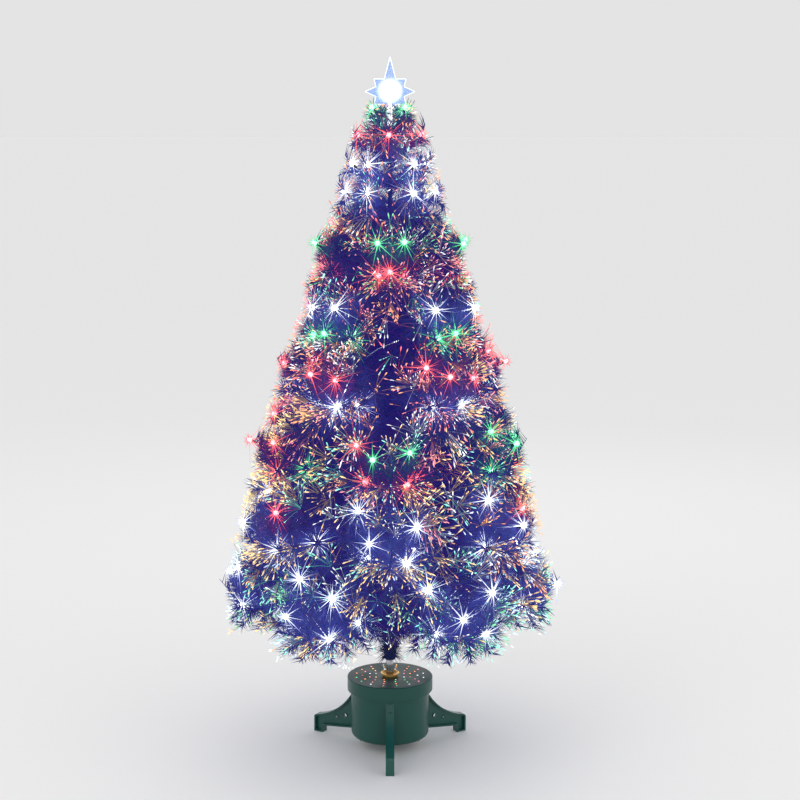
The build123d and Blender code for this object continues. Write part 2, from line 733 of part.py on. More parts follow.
# Fixed sprays: tapered arms on an eight-sided hub, with fibre ends, and a bulb on each arm
hub_low_z = pole_top_z + slide_gap
top_strand_places = []
top_bulbs = []
with BuildPart() as top_sprays:
    with BuildSketch(Plane.XY.offset(hub_low_z)):
        RegularPolygon(top_hub_radius, top_hub_sides)
    extrude(amount=top_heights[-1] + top_hub_overrun - hub_low_z)
    for height, tip_radius, count, slope, turn in zip(
        top_heights, top_tip_radii, top_counts, top_slopes, top_turns
    ):
        for angle in station_angles(count, turn):
            outward = Vector(1, 0, 0).rotate(Axis.Z, angle)
            aside = outward.rotate(Axis.Z, 90)
            along = outward.rotate(Axis(origin=(0, 0, 0), direction=aside), -slope)
            flat = Plane(origin=(0, 0, height), x_dir=along, z_dir=along.cross(aside))
            length = tip_radius / math.cos(math.radians(slope)) - strand_length
            with BuildSketch(flat.offset(-top_thickness / 2)):
                arm = taper_outline((0, 0), 0, length, top_root_width, top_tip_width)
                Polygon(*arm, align=None)
            for i, fan in enumerate(top_fan_angles):
                offset_y = (i + 0.5 - len(top_fan_angles) / 2) * top_tip_width / len(top_fan_angles)
                place = Location((length, offset_y, 0), (0, 0, fan))
                top_strand_places.append(flat.location * place)
            seat = Location((length * (1 + bulb_place_share) / 2, 0, top_thickness / 2))
            top_bulbs.append(bulb.part.moved(flat.location * seat))
    extrude(amount=top_thickness)
    with Locations(*top_strand_places):
        add(strand.part)
    with BuildSketch(Plane.XY.offset(hub_low_z - cut_overrun)):
        RegularPolygon(leader_radius + slide_gap, top_hub_sides, major_radius=False)
    extrude(amount=leader_top_z - hub_low_z, mode=Mode.SUBTRACT)
top_group = Compound([s for piece in (top_sprays.part, *top_bulbs) for s in piece.solids()])
write_piece(top_group, "top_sprays")

# Star of two clear shells round a lamp on a sleeve
star_half = (
    (star_notch_x, star_corner_z),
    (star_corner_x, star_corner_z),
    (star_side_notch_x, star_notch_z),
    (star_side, 0),
    (star_side_notch_x, -star_notch_z),
    (star_corner_x, -star_corner_z),
    (star_notch_x, -star_corner_z),
)
star_outline = (
    [(0, star_top)] + list(star_half) + [(0, -star_bottom)] + [(-x, z) for x, z in reversed(star_half)]
)
sleeve_inner_radius = leader_radius + slide_gap
sleeve_outer_radius = sleeve_inner_radius + star_sleeve_wall
sleeve_low_z = leader_top_z + slide_gap + star_sleeve_wall - star_sleeve_length


def star_shell(facing):
    """One hollow half of the star: a faceted peak on the star's outline, open at its flat back."""
    back = Plane(origin=(0, 0, star_centre_z), x_dir=(-facing, 0, 0), z_dir=(0, facing, 0))
    inner_share = (star_corner_z - star_wall) / star_corner_z
    with BuildPart() as shell:
        with BuildSketch(back):
            Polygon(*star_outline, align=None)
        with BuildSketch(back.offset(star_depth)):
            Polygon(*[(x * star_peak_share, z * star_peak_share) for x, z in star_outline], align=None)
        loft(ruled=True)
        with BuildSketch(back):
            Polygon(*[(x * inner_share, z * inner_share) for x, z in star_outline], align=None)
        with BuildSketch(back.offset(star_depth - star_wall)):
            inner_peak = inner_share * star_peak_share
            Polygon(*[(x * inner_peak, z * inner_peak) for x, z in star_outline], align=None)
        loft(ruled=True, mode=Mode.SUBTRACT)
        with BuildSketch(Plane.XY.offset(star_centre_z - star_bottom - cut_overrun)):
            Circle(sleeve_outer_radius + slide_gap)
        extrude(amount=star_bottom, mode=Mode.SUBTRACT)
    return shell.part


write_piece(star_shell(-1), "star_front")
write_piece(star_shell(1), "star_back")

with BuildPart() as star_light:
    with BuildSketch(Plane.XY.offset(sleeve_low_z)):
        Circle(sleeve_outer_radius)
    extrude(amount=star_sleeve_length)
    with BuildSketch(Plane.XY.offset(sleeve_low_z)):
        Circle(sleeve_inner_radius)
    extrude(amount=star_sleeve_length - star_sleeve_wall, mode=Mode.SUBTRACT)
    with BuildSketch(Plane.XY.offset(sleeve_low_z + star_sleeve_length)):
        Circle(star_lamp_radius)
    extrude(amount=star_lamp_height)
    fillet(star_light.faces().sort_by(Axis.Z)[-1].edges(), star_lamp_radius / 2)
write_piece(star_light.part, "star_light")
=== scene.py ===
"""Looks of the pre-lit fibre tree: needles, fibre sprays, bulbs, star and light housing.

Everything is in metres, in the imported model's frame: the trunk stands on the origin, +Z is up and
the front leg points to -Y. Each hinged branch keeps its own pieces, which ride on its own body.
"""

import json
import logging
import math
from dataclasses import dataclass, field
from enum import Enum
from typing import NamedTuple

import bpy
import numpy as np
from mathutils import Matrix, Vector


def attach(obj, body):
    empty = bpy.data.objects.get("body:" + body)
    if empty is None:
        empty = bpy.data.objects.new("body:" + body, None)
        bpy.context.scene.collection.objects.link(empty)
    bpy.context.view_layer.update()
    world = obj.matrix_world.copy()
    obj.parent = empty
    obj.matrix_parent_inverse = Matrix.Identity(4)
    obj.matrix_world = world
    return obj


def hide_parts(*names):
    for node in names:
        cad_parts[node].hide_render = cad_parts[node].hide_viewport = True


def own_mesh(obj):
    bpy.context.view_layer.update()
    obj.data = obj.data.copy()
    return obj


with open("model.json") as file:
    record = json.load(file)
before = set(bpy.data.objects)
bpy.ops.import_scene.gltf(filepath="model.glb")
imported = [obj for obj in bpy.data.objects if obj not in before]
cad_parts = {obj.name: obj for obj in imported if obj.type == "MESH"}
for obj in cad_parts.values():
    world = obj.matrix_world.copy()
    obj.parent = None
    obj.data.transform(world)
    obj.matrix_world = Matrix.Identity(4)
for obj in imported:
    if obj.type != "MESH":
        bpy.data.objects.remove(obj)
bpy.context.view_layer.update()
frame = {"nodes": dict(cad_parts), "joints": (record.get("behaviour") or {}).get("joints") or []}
log = logging.getLogger("fibre_tree")

Array = np.ndarray
Rng = np.random.Generator
BlenderObject = bpy.types.Object
ShaderTree = bpy.types.NodeTree
Pair = tuple[float, float]
Triple = tuple[float, float, float]

UP = np.array([0.0, 0.0, 1.0])

# How a bulb's light is painted on the foliage round it, and how its own core shows
WHITE_HALO = (0.16, 0.24, 1.0)
WHITE_HALO_LENGTH = 0.022
HALO_LENGTH = 0.013
HALO_SHARE = 0.8
CORE_PALENESS = 0.1


class Glow(Enum):
    """The colours of the light that the fibres and bulbs give, as linear RGB."""

    WHITE = (0.86, 0.93, 1.0)
    ICE = (0.35, 0.62, 1.0)
    GOLD = (1.0, 0.62, 0.16)
    ORANGE = (1.0, 0.30, 0.05)
    RED = (1.0, 0.028, 0.055)
    PINK = (1.0, 0.20, 0.28)
    TEAL = (0.10, 0.80, 0.62)
    GREEN = (0.012, 0.62, 0.19)

    @property
    def rgb(self) -> Array:
        """The colour as an array."""
        return np.array(self.value)

    @property
    def halo(self) -> Array:
        """The colour of the bulb's light painted on the foliage near it."""
        return np.array(WHITE_HALO) if self is Glow.WHITE else HALO_SHARE * self.rgb

    @property
    def core(self) -> Array:
        """The paler colour of a bulb itself."""
        return (1 - CORE_PALENESS) * self.rgb + CORE_PALENESS

    @property
    def halo_length(self) -> float:
        """How far from a bulb its painted light fades to a third."""
        return WHITE_HALO_LENGTH if self is Glow.WHITE else HALO_LENGTH


class Seat(NamedTuple):
    """A bulb's root, direction and colour."""

    root: Array
    heading: Array
    colour: Glow


@dataclass(frozen=True)
class Tier:
    """One level of hinged branches, with the sizes that its collar and branches were made to."""

    number: int
    count: int
    slope: float
    tip_radius: float
    pairs: int
    rise: float
    low_bulbs: tuple[Glow, ...]
    high_bulbs: tuple[Glow, ...]
    fibre_colours: dict[Glow, float]


TIERS = (
    Tier(
        1, 6, -8.0, 0.430, 4, 0.095, (Glow.WHITE,), (Glow.WHITE,),
        {Glow.TEAL: 0.30, Glow.GREEN: 0.14, Glow.WHITE: 0.24, Glow.ICE: 0.12, Glow.GOLD: 0.20},
    ),
    Tier(
        2, 6, -5.0, 0.398, 4, 0.098, (Glow.WHITE,), (Glow.WHITE, Glow.WHITE, Glow.RED),
        {Glow.GOLD: 0.40, Glow.ORANGE: 0.18, Glow.WHITE: 0.18, Glow.TEAL: 0.16, Glow.ICE: 0.08},
    ),
    Tier(
        3, 5, -1.0, 0.350, 4, 0.098, (Glow.GREEN, Glow.RED), (Glow.GREEN, Glow.RED, Glow.GREEN),
        {Glow.GOLD: 0.26, Glow.PINK: 0.22, Glow.TEAL: 0.22, Glow.WHITE: 0.18, Glow.ORANGE: 0.12},
    ),
    Tier(
        4, 5, 3.0, 0.302, 4, 0.098, (Glow.WHITE,), (Glow.RED,),
        {Glow.PINK: 0.28, Glow.RED: 0.20, Glow.GOLD: 0.26, Glow.WHITE: 0.16, Glow.ORANGE: 0.10},
    ),
    Tier(
        5, 4, 7.0, 0.258, 3, 0.096, (Glow.GREEN,), (Glow.WHITE,),
        {Glow.PINK: 0.28, Glow.RED: 0.14, Glow.ORANGE: 0.20, Glow.WHITE: 0.22, Glow.TEAL: 0.16},
    ),
    Tier(
        6, 4, 12.0, 0.196, 3, 0.098, (Glow.RED,), (Glow.GREEN,),
        {Glow.PINK: 0.26, Glow.ORANGE: 0.24, Glow.WHITE: 0.22, Glow.GREEN: 0.14, Glow.RED: 0.14},
    ),
)

# Outline of the lit cone, as height and radius, from the lowest fibre ends to the star
CONE_HEIGHTS = (0.30, 0.375, 0.48, 0.61, 0.717, 0.90, 1.03, 1.16, 1.29, 1.425, 1.61, 1.69)
CONE_RADII = (0.415, 0.435, 0.425, 0.405, 0.380, 0.325, 0.290, 0.245, 0.200, 0.152, 0.100, 0.062)
CONE_LOW = 0.330
CONE_TOP = 1.692
CONE_DEPTH = 0.424


def cone_radius(height: Array) -> Array:
    """The radius of the lit cone at some heights above the floor."""
    return np.interp(height, CONE_HEIGHTS, CONE_RADII)


def inside_cone(points: Array, slack: float) -> Array:
    """Which points lie in the lit cone.

    Args:
        points: the points, n by 3.
        slack: how far a point may lie outside its surface.

    Returns:
        True or False for each point.
    """
    reach = np.hypot(points[:, 0], points[:, 1])
    fits = (reach < cone_radius(points[:, 2]) + slack) & (np.abs(points[:, 1]) < CONE_DEPTH + slack / 2)
    return fits & (points[:, 2] > CONE_LOW - slack / 2) & (points[:, 2] < CONE_TOP)


def unit(vectors: Array) -> Array:
    """The same directions at length one."""
    return vectors / np.linalg.norm(vectors, axis=-1, keepdims=True)


def swung(direction: Array, towards: Array, angle: float) -> Array:
    """A direction turned towards another one by some degrees."""
    a = math.radians(angle)
    return direction * math.cos(a) + towards * math.sin(a)


def around(angle: float, rise: float = 0.0) -> Array:
    """The level direction at an angle in radians round the trunk, with some rise added."""
    return np.array([math.cos(angle), math.sin(angle), rise])


def deselect_all() -> None:
    """Leave no object selected, in object mode."""
    if bpy.context.object is not None and bpy.context.object.mode != "OBJECT":
        bpy.ops.object.mode_set(mode="OBJECT")
    bpy.ops.object.select_all(action="DESELECT")


def edit_all() -> None:
    """Edit the active object's mesh, with all of it selected."""
    bpy.ops.object.mode_set(mode="EDIT")
    bpy.ops.mesh.select_all(action="SELECT")


@dataclass
class Shape:
    """A small closed mesh that is copied many times: its corners, triangles and material numbers."""

    corners: Array
    triangles: Array
    materials: Array

    @classmethod
    def taken_from(cls, piece: BlenderObject) -> "Shape":
        """Read a finished object's mesh as triangles and remove the object."""
        mesh = piece.data
        mesh.calc_loop_triangles()
        corners = np.array([v.co for v in mesh.vertices])
        triangles = np.array([t.vertices for t in mesh.loop_triangles])
        materials = np.array([t.material_index for t in mesh.loop_triangles])
        bpy.data.objects.remove(piece)
        return cls(corners, triangles, materials)

    def joined(self, other: "Shape", offset: Array) -> "Shape":
        """This shape and another one, moved by an offset, which has the next material number."""
        return Shape(
            np.concatenate([self.corners, other.corners + offset]),
            np.concatenate([self.triangles, other.triangles + len(self.corners)]),
            np.concatenate([self.materials, other.materials + 1]),
        )


@dataclass
class Copies:
    """Many placed copies of shapes, gathered into one piece."""

    corners: list[Array] = field(default_factory=list)
    triangles: list[Array] = field(default_factory=list)
    materials: list[Array] = field(default_factory=list)
    colours: list[Array] = field(default_factory=list)
    total: int = 0

    def add(
        self,
        shape: Shape,
        places: Array,
        bases: Array,
        colours: Array,
        ends: Array | None = None,
    ) -> None:
        """Add one copy of a shape for each place.

        Args:
            shape: the shape.
            places: where each copy's origin goes, n by 3.
            bases: each copy's X, Y and Z, scaled, as the columns of n 3 by 3 arrays.
            colours: each copy's glow colour, n by 3, which the light-giving finishes emit; on needles it is
                painted light.
            ends: the glow colour that each copy turns to at its top, where it isn't the same.
        """
        count, size = len(places), len(shape.corners)
        if not count:
            return
        placed = places[:, None, :] + np.einsum("nij,kj->nki", bases, shape.corners)
        steps = self.total + size * np.arange(count)
        self.corners.append(placed.reshape(-1, 3))
        self.triangles.append((shape.triangles[None] + steps[:, None, None]).reshape(-1, 3))
        self.materials.append(np.tile(shape.materials, count))
        height = shape.corners[:, 2] / shape.corners[:, 2].max()
        ends = colours if ends is None else ends
        mixed = colours[:, None] * (1 - height)[None, :, None] + ends[:, None] * height[None, :, None]
        self.colours.append(mixed.reshape(-1, 3))
        self.total += count * size

    def piece(self, name: str, materials: list[bpy.types.Material], smooth: bool) -> BlenderObject:
        """Make the gathered copies one object at the origin.

        Args:
            name: the object's name.
            materials: its materials, in the order of the shapes' material numbers.
            smooth: whether its faces are shaded smooth.

        Returns:
            The new object.
        """
        mesh = bpy.data.meshes.new(name)
        mesh.from_pydata(np.concatenate(self.corners), [], np.concatenate(self.triangles))
        for material in materials:
            mesh.materials.append(material)
        mesh.polygons.foreach_set("material_index", np.concatenate(self.materials).astype(np.int32))
        mesh.polygons.foreach_set("use_smooth", np.full(len(mesh.polygons), smooth))
        light = mesh.color_attributes.new(name="glow", type="FLOAT_COLOR", domain="POINT")
        colours = np.concatenate(self.colours)
        light.data.foreach_set("color", np.c_[colours, np.ones(len(colours))].astype(np.float32).ravel())
        made = bpy.data.objects.new(name, mesh)
        bpy.context.scene.collection.objects.link(made)
        return made


def bases_along(
    directions: Array, leanings: Array, width: float | Array, length: float | Array
) -> Array:
    """Scaled axes with Z along some directions and X towards some leanings.

    Args:
        directions: where each Z points, n by 3.
        leanings: what each X leans towards, n by 3.
        width: the scale of X and Y, one for each or one for all.
        length: the scale of Z, one for each or one for all.

    Returns:
        The axes as columns, n by 3 by 3.
    """
    z = unit(directions)
    x = unit(leanings - (leanings * z).sum(-1, keepdims=True) * z)
    y = np.cross(z, x)
    width = np.broadcast_to(width, len(z))[:, None]
    length = np.broadcast_to(length, len(z))[:, None]
    return np.stack([x * width, y * width, z * length], axis=2)


class UnitShapes:
    """The small shapes that the branches repeat, each modelled once."""

    NEEDLE_SIDES = 3
    NEEDLE_FLAT_SHARE = 0.4
    FIBRE_LENGTH = 0.080
    FIBRE_RADIUS = 0.00055
    FIBRE_STEPS = 2
    FIBRE_SIDES = 3
    FIBRE_BENDS = (0.004, 0.010, 0.018)
    TIP_LENGTH = 0.014
    TIP_RADIUS = 0.0017
    TIP_END_SHARE = 0.3
    TIP_SIDES = 4
    # For each round form its first radius, its sides, and for each next ring the step along X,
    # the step along Z and the radius
    WIRE = (1.0, 6, ((0, 0.5, 0.8), (0, 0.46, 0.6), (0, 0.04, 0.3)))
    HOLDER = (0.0020, 8, ((0, 0.003, 0.0028), (0, 0.006, 0.0028), (0, 0.002, 0.0034), (0, 0.002, 0.0034)))
    LENS = (0.0040, 8, ((0, 0.002, 0.0058), (0, 0.005, 0.0066), (0, 0.004, 0.0054), (0, 0.002, 0.0028)))
    LIGHT_POINT = (1.0, 10, ((0, 0.25, 0.9), (0, 0.2, 0.6), (0, 0.08, 0.2)))
    SLEEVE = (0.85, 20, ((0, 0.02, 1.0), (0, 0.96, 1.0), (0, 0.02, 0.85)))
    BAR = (1.0, 6, ((0, 1.0, 1.0),))
    LENS_HEIGHT = 0.0125
    EYE_RADIUS = 0.006
    EYE_BORE = 0.00205
    EYE_HALF = 0.003
    EYE_EDGE = 0.0008
    EYE_SIDES = 24
    MERGE_DISTANCE = 0.00005

    def __init__(self) -> None:
        """Model every shape that more than one piece repeats."""
        self.needle = self.make_needle()
        self.wire = self.round_form(*self.WIRE)
        self.fibres = [self.make_fibre(bend) for bend in self.FIBRE_BENDS]
        lens_foot = np.array([0, 0, self.LENS_HEIGHT])
        self.bulb = self.round_form(*self.HOLDER).joined(self.round_form(*self.LENS), lens_foot)
        self.eye = self.make_eye()
        self.light_point = self.round_form(*self.LIGHT_POINT)

    @staticmethod
    def round_form(start: float, sides: int, rings: tuple[Triple, ...]) -> Shape:
        """A closed round form along Z, extruded ring by ring.

        Args:
            start: the radius of its first ring.
            sides: how many sides it has.
            rings: step along X, step along Z and the new radius, for each next ring.

        Returns:
            The shape.
        """
        deselect_all()
        bpy.ops.mesh.primitive_circle_add(vertices=sides, radius=start, fill_type="NGON")
        edit_all()
        centre, radius = Vector((0, 0, 0)), start
        for step_x, step_z, new_radius in rings:
            centre = centre + Vector((step_x, 0, step_z))
            bpy.ops.mesh.extrude_region_move(TRANSFORM_OT_translate={"value": (step_x, 0, step_z)})
            share = new_radius / radius
            bpy.ops.transform.resize(value=(share, share, 1), center_override=centre)
            radius = new_radius
        bpy.ops.mesh.select_all(action="SELECT")
        bpy.ops.mesh.normals_make_consistent(inside=False)
        bpy.ops.object.mode_set(mode="OBJECT")
        return Shape.taken_from(bpy.context.object)

    def make_needle(self) -> Shape:
        """A flat tapered needle, one unit long and wide at its foot."""
        deselect_all()
        bpy.ops.mesh.primitive_cone_add(vertices=self.NEEDLE_SIDES, radius1=1, depth=1, location=(0, 0, 0.5))
        edit_all()
        bpy.ops.transform.resize(value=(1, self.NEEDLE_FLAT_SHARE, 1), center_override=(0, 0, 0))
        bpy.ops.object.mode_set(mode="OBJECT")
        bpy.ops.object.transform_apply(location=True)
        return Shape.taken_from(bpy.context.object)

    def make_fibre(self, bend: float) -> Shape:
        """A thin fibre that curves towards X, with a bright teardrop at its end.

        Args:
            bend: how far its end lies off the straight line.

        Returns:
            The shape: material 0 is the fibre and material 1 its lit end.
        """
        step = self.FIBRE_LENGTH / self.FIBRE_STEPS
        offsets = [bend * (i * step / self.FIBRE_LENGTH) ** 2 for i in range(self.FIBRE_STEPS + 1)]
        rings = tuple((b - a, step, self.FIBRE_RADIUS) for a, b in zip(offsets, offsets[1:]))
        fibre = self.round_form(self.FIBRE_RADIUS, self.FIBRE_SIDES, rings)
        small, third = self.TIP_RADIUS * self.TIP_END_SHARE, self.TIP_LENGTH / 3
        lean = (offsets[-1] - offsets[-2]) / step
        rings = ((lean * 2 * third, 2 * third, self.TIP_RADIUS), (lean * third, third, small))
        foot = np.array([offsets[-1] - lean * third, 0, self.FIBRE_LENGTH - third])
        return fibre.joined(self.round_form(small, self.TIP_SIDES, rings), foot)

    def make_eye(self) -> Shape:
        """The flat ring at a stem's root, with the bore for its pin along Z."""
        outer, bore, half, edge = self.EYE_RADIUS, self.EYE_BORE, self.EYE_HALF, self.EYE_EDGE
        deselect_all()
        bpy.ops.mesh.primitive_circle_add(
            vertices=self.EYE_SIDES, radius=bore, fill_type="NOTHING", location=(0, 0, -half)
        )
        edit_all()
        for radius, step in (
            (outer - edge, 0), (outer, edge), (outer, 2 * half - 2 * edge), (outer - edge, edge), (bore, 0),
        ):
            bpy.ops.mesh.extrude_edges_move(TRANSFORM_OT_translate={"value": (0, 0, step)})
            bpy.context.object.update_from_editmode()
            now = max(v.co.xy.length for v in bpy.context.object.data.vertices if v.select)
            bpy.ops.transform.resize(value=(radius / now, radius / now, 1), center_override=(0, 0, 0))
        bpy.ops.mesh.extrude_edges_move(TRANSFORM_OT_translate={"value": (0, 0, -2 * half)})
        bpy.ops.mesh.select_all(action="SELECT")
        bpy.ops.mesh.remove_doubles(threshold=self.MERGE_DISTANCE)
        bpy.ops.mesh.normals_make_consistent(inside=False)
        bpy.ops.object.mode_set(mode="OBJECT")
        bpy.ops.object.transform_apply(location=True)
        return Shape.taken_from(bpy.context.object)


class NodeTree:
    """Short calls that add and link the nodes of a material or a group."""

    def __init__(self, tree: ShaderTree) -> None:
        """Keep the tree that the calls work on."""
        self.tree = tree

    def add(self, kind: str, **settings: object) -> bpy.types.Node:
        """Add a node.

        Args:
            kind: the node's type, such as ShaderNodeTexNoise.
            settings: its properties, or the values of its inputs where the name is an input's.

        Returns:
            The node.
        """
        node = self.tree.nodes.new(kind)
        for name, value in settings.items():
            plain = name.replace("_", " ").title()
            if plain in node.inputs:
                node.inputs[plain].default_value = value
            else:
                setattr(node, name, value)
        return node

    def link(self, *rows: tuple[bpy.types.Node, str | int, bpy.types.Node, str | int]) -> None:
        """Link nodes: each row has the first node and its output, and the second node and its input."""
        for source, output, target, socket in rows:
            self.tree.links.new(source.outputs[output], target.inputs[socket])


class Groups:
    """The shader node groups that several finishes share."""

    SCUFFS_FROM = 0.45
    SCUFFS_TO = 0.7

    @staticmethod
    def start(name: str, inputs: dict[str, object], outputs: tuple[str, ...]) -> tuple:
        """Make a group with named inputs and outputs.

        Args:
            name: the group's name.
            inputs: each input's value: a number, a vector of three or a colour of four.
            outputs: each output's name. Light and Colour are colours, and the rest are numbers.

        Returns:
            The group, its nodes' helper, its input node and its output node.
        """
        group = bpy.data.node_groups.new(name, "ShaderNodeTree")
        for key, value in inputs.items():
            size = len(value) if isinstance(value, tuple) else 1
            kind = {1: "NodeSocketFloat", 3: "NodeSocketVector", 4: "NodeSocketColor"}[size]
            group.interface.new_socket(key, in_out="INPUT", socket_type=kind).default_value = value
        for key in outputs:
            kind = "NodeSocketColor" if key in ("Light", "Colour") else "NodeSocketFloat"
            group.interface.new_socket(key, in_out="OUTPUT", socket_type=kind)
        nodes = NodeTree(group)
        return group, nodes, nodes.add("NodeGroupInput"), nodes.add("NodeGroupOutput")

    @staticmethod
    def moulded_surface() -> ShaderTree:
        """Colour that drifts, fine grain and faint scuffs, for moulded, drawn and woven surfaces."""
        group, nodes, given, result = Groups.start(
            "moulded_surface",
            {
                "Colour": (0.5, 0.5, 0.5, 1), "Second Colour": (0.4, 0.4, 0.4, 1), "Stretch": (1, 1, 1),
                "Drift Scale": 20.0, "Grain Scale": 600.0, "Smooth Roughness": 0.3,
                "Scuffed Roughness": 0.45,
            },
            ("Colour", "Roughness", "Height"),
        )
        place = nodes.add("ShaderNodeTexCoord")
        stretched = nodes.add("ShaderNodeVectorMath", operation="MULTIPLY")
        drift = nodes.add("ShaderNodeTexNoise", detail=4.0)
        grain = nodes.add("ShaderNodeTexNoise", detail=2.0)
        mix = nodes.add("ShaderNodeMix", data_type="RGBA")
        scuff = nodes.add("ShaderNodeMapRange", from_min=Groups.SCUFFS_FROM, from_max=Groups.SCUFFS_TO)
        nodes.link(
            (place, "Object", stretched, 0), (given, "Stretch", stretched, 1),
            (stretched, 0, drift, "Vector"), (given, "Drift Scale", drift, "Scale"),
            (stretched, 0, grain, "Vector"), (given, "Grain Scale", grain, "Scale"),
            (drift, "Fac", mix, "Factor"), (given, "Colour", mix, "A"), (given, "Second Colour", mix, "B"),
            (drift, "Fac", scuff, "Value"), (given, "Smooth Roughness", scuff, "To Min"),
            (given, "Scuffed Roughness", scuff, "To Max"), (mix, "Result", result, "Colour"),
            (scuff, "Result", result, "Roughness"), (grain, "Fac", result, "Height"),
        )
        return group

    @staticmethod
    def lit_middle() -> ShaderTree:
        """Light that is strongest round one point of the model and fades with the distance from it."""
        group, nodes, given, result = Groups.start(
            "lit_middle",
            {
                "Middle": (0, 0, 0), "Near": 0.01, "Far": 0.04, "Light": (1, 1, 1, 1),
                "Far Light": (0.1, 0.1, 0.1, 1),
            },
            ("Light",),
        )
        place = nodes.add("ShaderNodeTexCoord")
        away = nodes.add("ShaderNodeVectorMath", operation="DISTANCE")
        share = nodes.add("ShaderNodeMapRange", interpolation_type="SMOOTHSTEP")
        mix = nodes.add("ShaderNodeMix", data_type="RGBA")
        nodes.link(
            (place, "Object", away, 0), (given, "Middle", away, 1), (away, "Value", share, "Value"),
            (given, "Near", share, "From Min"), (given, "Far", share, "From Max"),
            (share, "Result", mix, "Factor"), (given, "Light", mix, "A"), (given, "Far Light", mix, "B"),
            (mix, "Result", result, "Light"),
        )
        return group

    @staticmethod
    def carried_light() -> ShaderTree:
        """The light that a piece's glow attribute holds, with a slow flicker over its length: painted light
        on the needles, and the fibres', bulbs' and lid's own light elsewhere.
        """
        group, nodes, given, result = Groups.start(
            "carried_light", {"Level": 1.0, "Flicker": 0.2, "Scale": 60.0}, ("Light",)
        )
        held = nodes.add("ShaderNodeAttribute", attribute_name="glow")
        place = nodes.add("ShaderNodeTexCoord")
        noise = nodes.add("ShaderNodeTexNoise")
        centred = nodes.add("ShaderNodeMath", operation="SUBTRACT")
        centred.inputs[1].default_value = 0.5
        swing = nodes.add("ShaderNodeMath", operation="MULTIPLY_ADD")
        scaled = nodes.add("ShaderNodeVectorMath", operation="SCALE")
        nodes.link(
            (place, "Object", noise, "Vector"), (given, "Scale", noise, "Scale"), (noise, "Fac", centred, 0),
            (centred, 0, swing, 0), (given, "Flicker", swing, 1), (given, "Level", swing, 2),
            (held, "Color", scaled, 0), (swing, 0, scaled, "Scale"), (scaled, 0, result, "Light"),
        )
        return group


@dataclass(frozen=True)
class Finish:
    """A surface finish: its colours, gloss, grain and the light that it gives."""

    name: str
    colour: Triple
    second: Triple
    smooth: float = 0.35
    scuffed: float = 0.5
    drift: float = 25.0
    grain: float = 700.0
    bump: float = 0.08
    bump_depth: float = 0.0005
    stretch: Triple = (1.0, 1.0, 1.0)
    metallic: float = 0.0
    coat: float = 0.0
    clear: float = 0.0
    light: float = 0.0
    flicker: float = 0.2
    flat_light: Triple | None = None
    middle_light: Triple | None = None
    middle: Triple = (0.0, 0.0, 0.0)
    middle_reach: Pair = (0.0, 0.0)
    specular: float = 0.5

    def material(
        self, surface: ShaderTree, carried: ShaderTree, lit_middle: ShaderTree
    ) -> bpy.types.Material:
        """Build the finish's material from the moulded_surface, carried_light and lit_middle groups."""
        made = bpy.data.materials.new(self.name)
        made.use_nodes = True
        nodes = NodeTree(made.node_tree)
        shader = made.node_tree.nodes["Principled BSDF"]
        group = nodes.add(
            "ShaderNodeGroup", node_tree=surface, colour=(*self.colour, 1), second_colour=(*self.second, 1),
            stretch=self.stretch, drift_scale=self.drift, grain_scale=self.grain,
            smooth_roughness=self.smooth, scuffed_roughness=self.scuffed,
        )
        nodes.link((group, "Colour", shader, "Base Color"), (group, "Roughness", shader, "Roughness"))
        if self.bump:
            bump = nodes.add("ShaderNodeBump", strength=self.bump, distance=self.bump_depth)
            nodes.link((group, "Height", bump, "Height"), (bump, "Normal", shader, "Normal"))
        settings = {
            "Metallic": self.metallic, "Coat Weight": self.coat, "Specular IOR Level": self.specular,
            "Transmission Weight": self.clear,
        }
        if self.light:
            glow = nodes.add("ShaderNodeGroup", node_tree=carried, flicker=self.flicker)
            nodes.link((glow, "Light", shader, "Emission Color"))
            settings["Emission Strength"] = self.light
        if self.flat_light:
            settings |= {"Emission Color": (*self.flat_light, 1), "Emission Strength": 1.0}
        if self.middle_light:
            near, far = self.middle_reach
            glow = nodes.add(
                "ShaderNodeGroup", node_tree=lit_middle, middle=self.middle, near=near, far=far,
                light=(*self.middle_light, 1), far_light=(*self.flat_light, 1),
            )
            nodes.link((glow, "Light", shader, "Emission Color"))
        for name, value in settings.items():
            shader.inputs[name].default_value = value
        made.cycles.emission_sampling = "NONE"
        return made


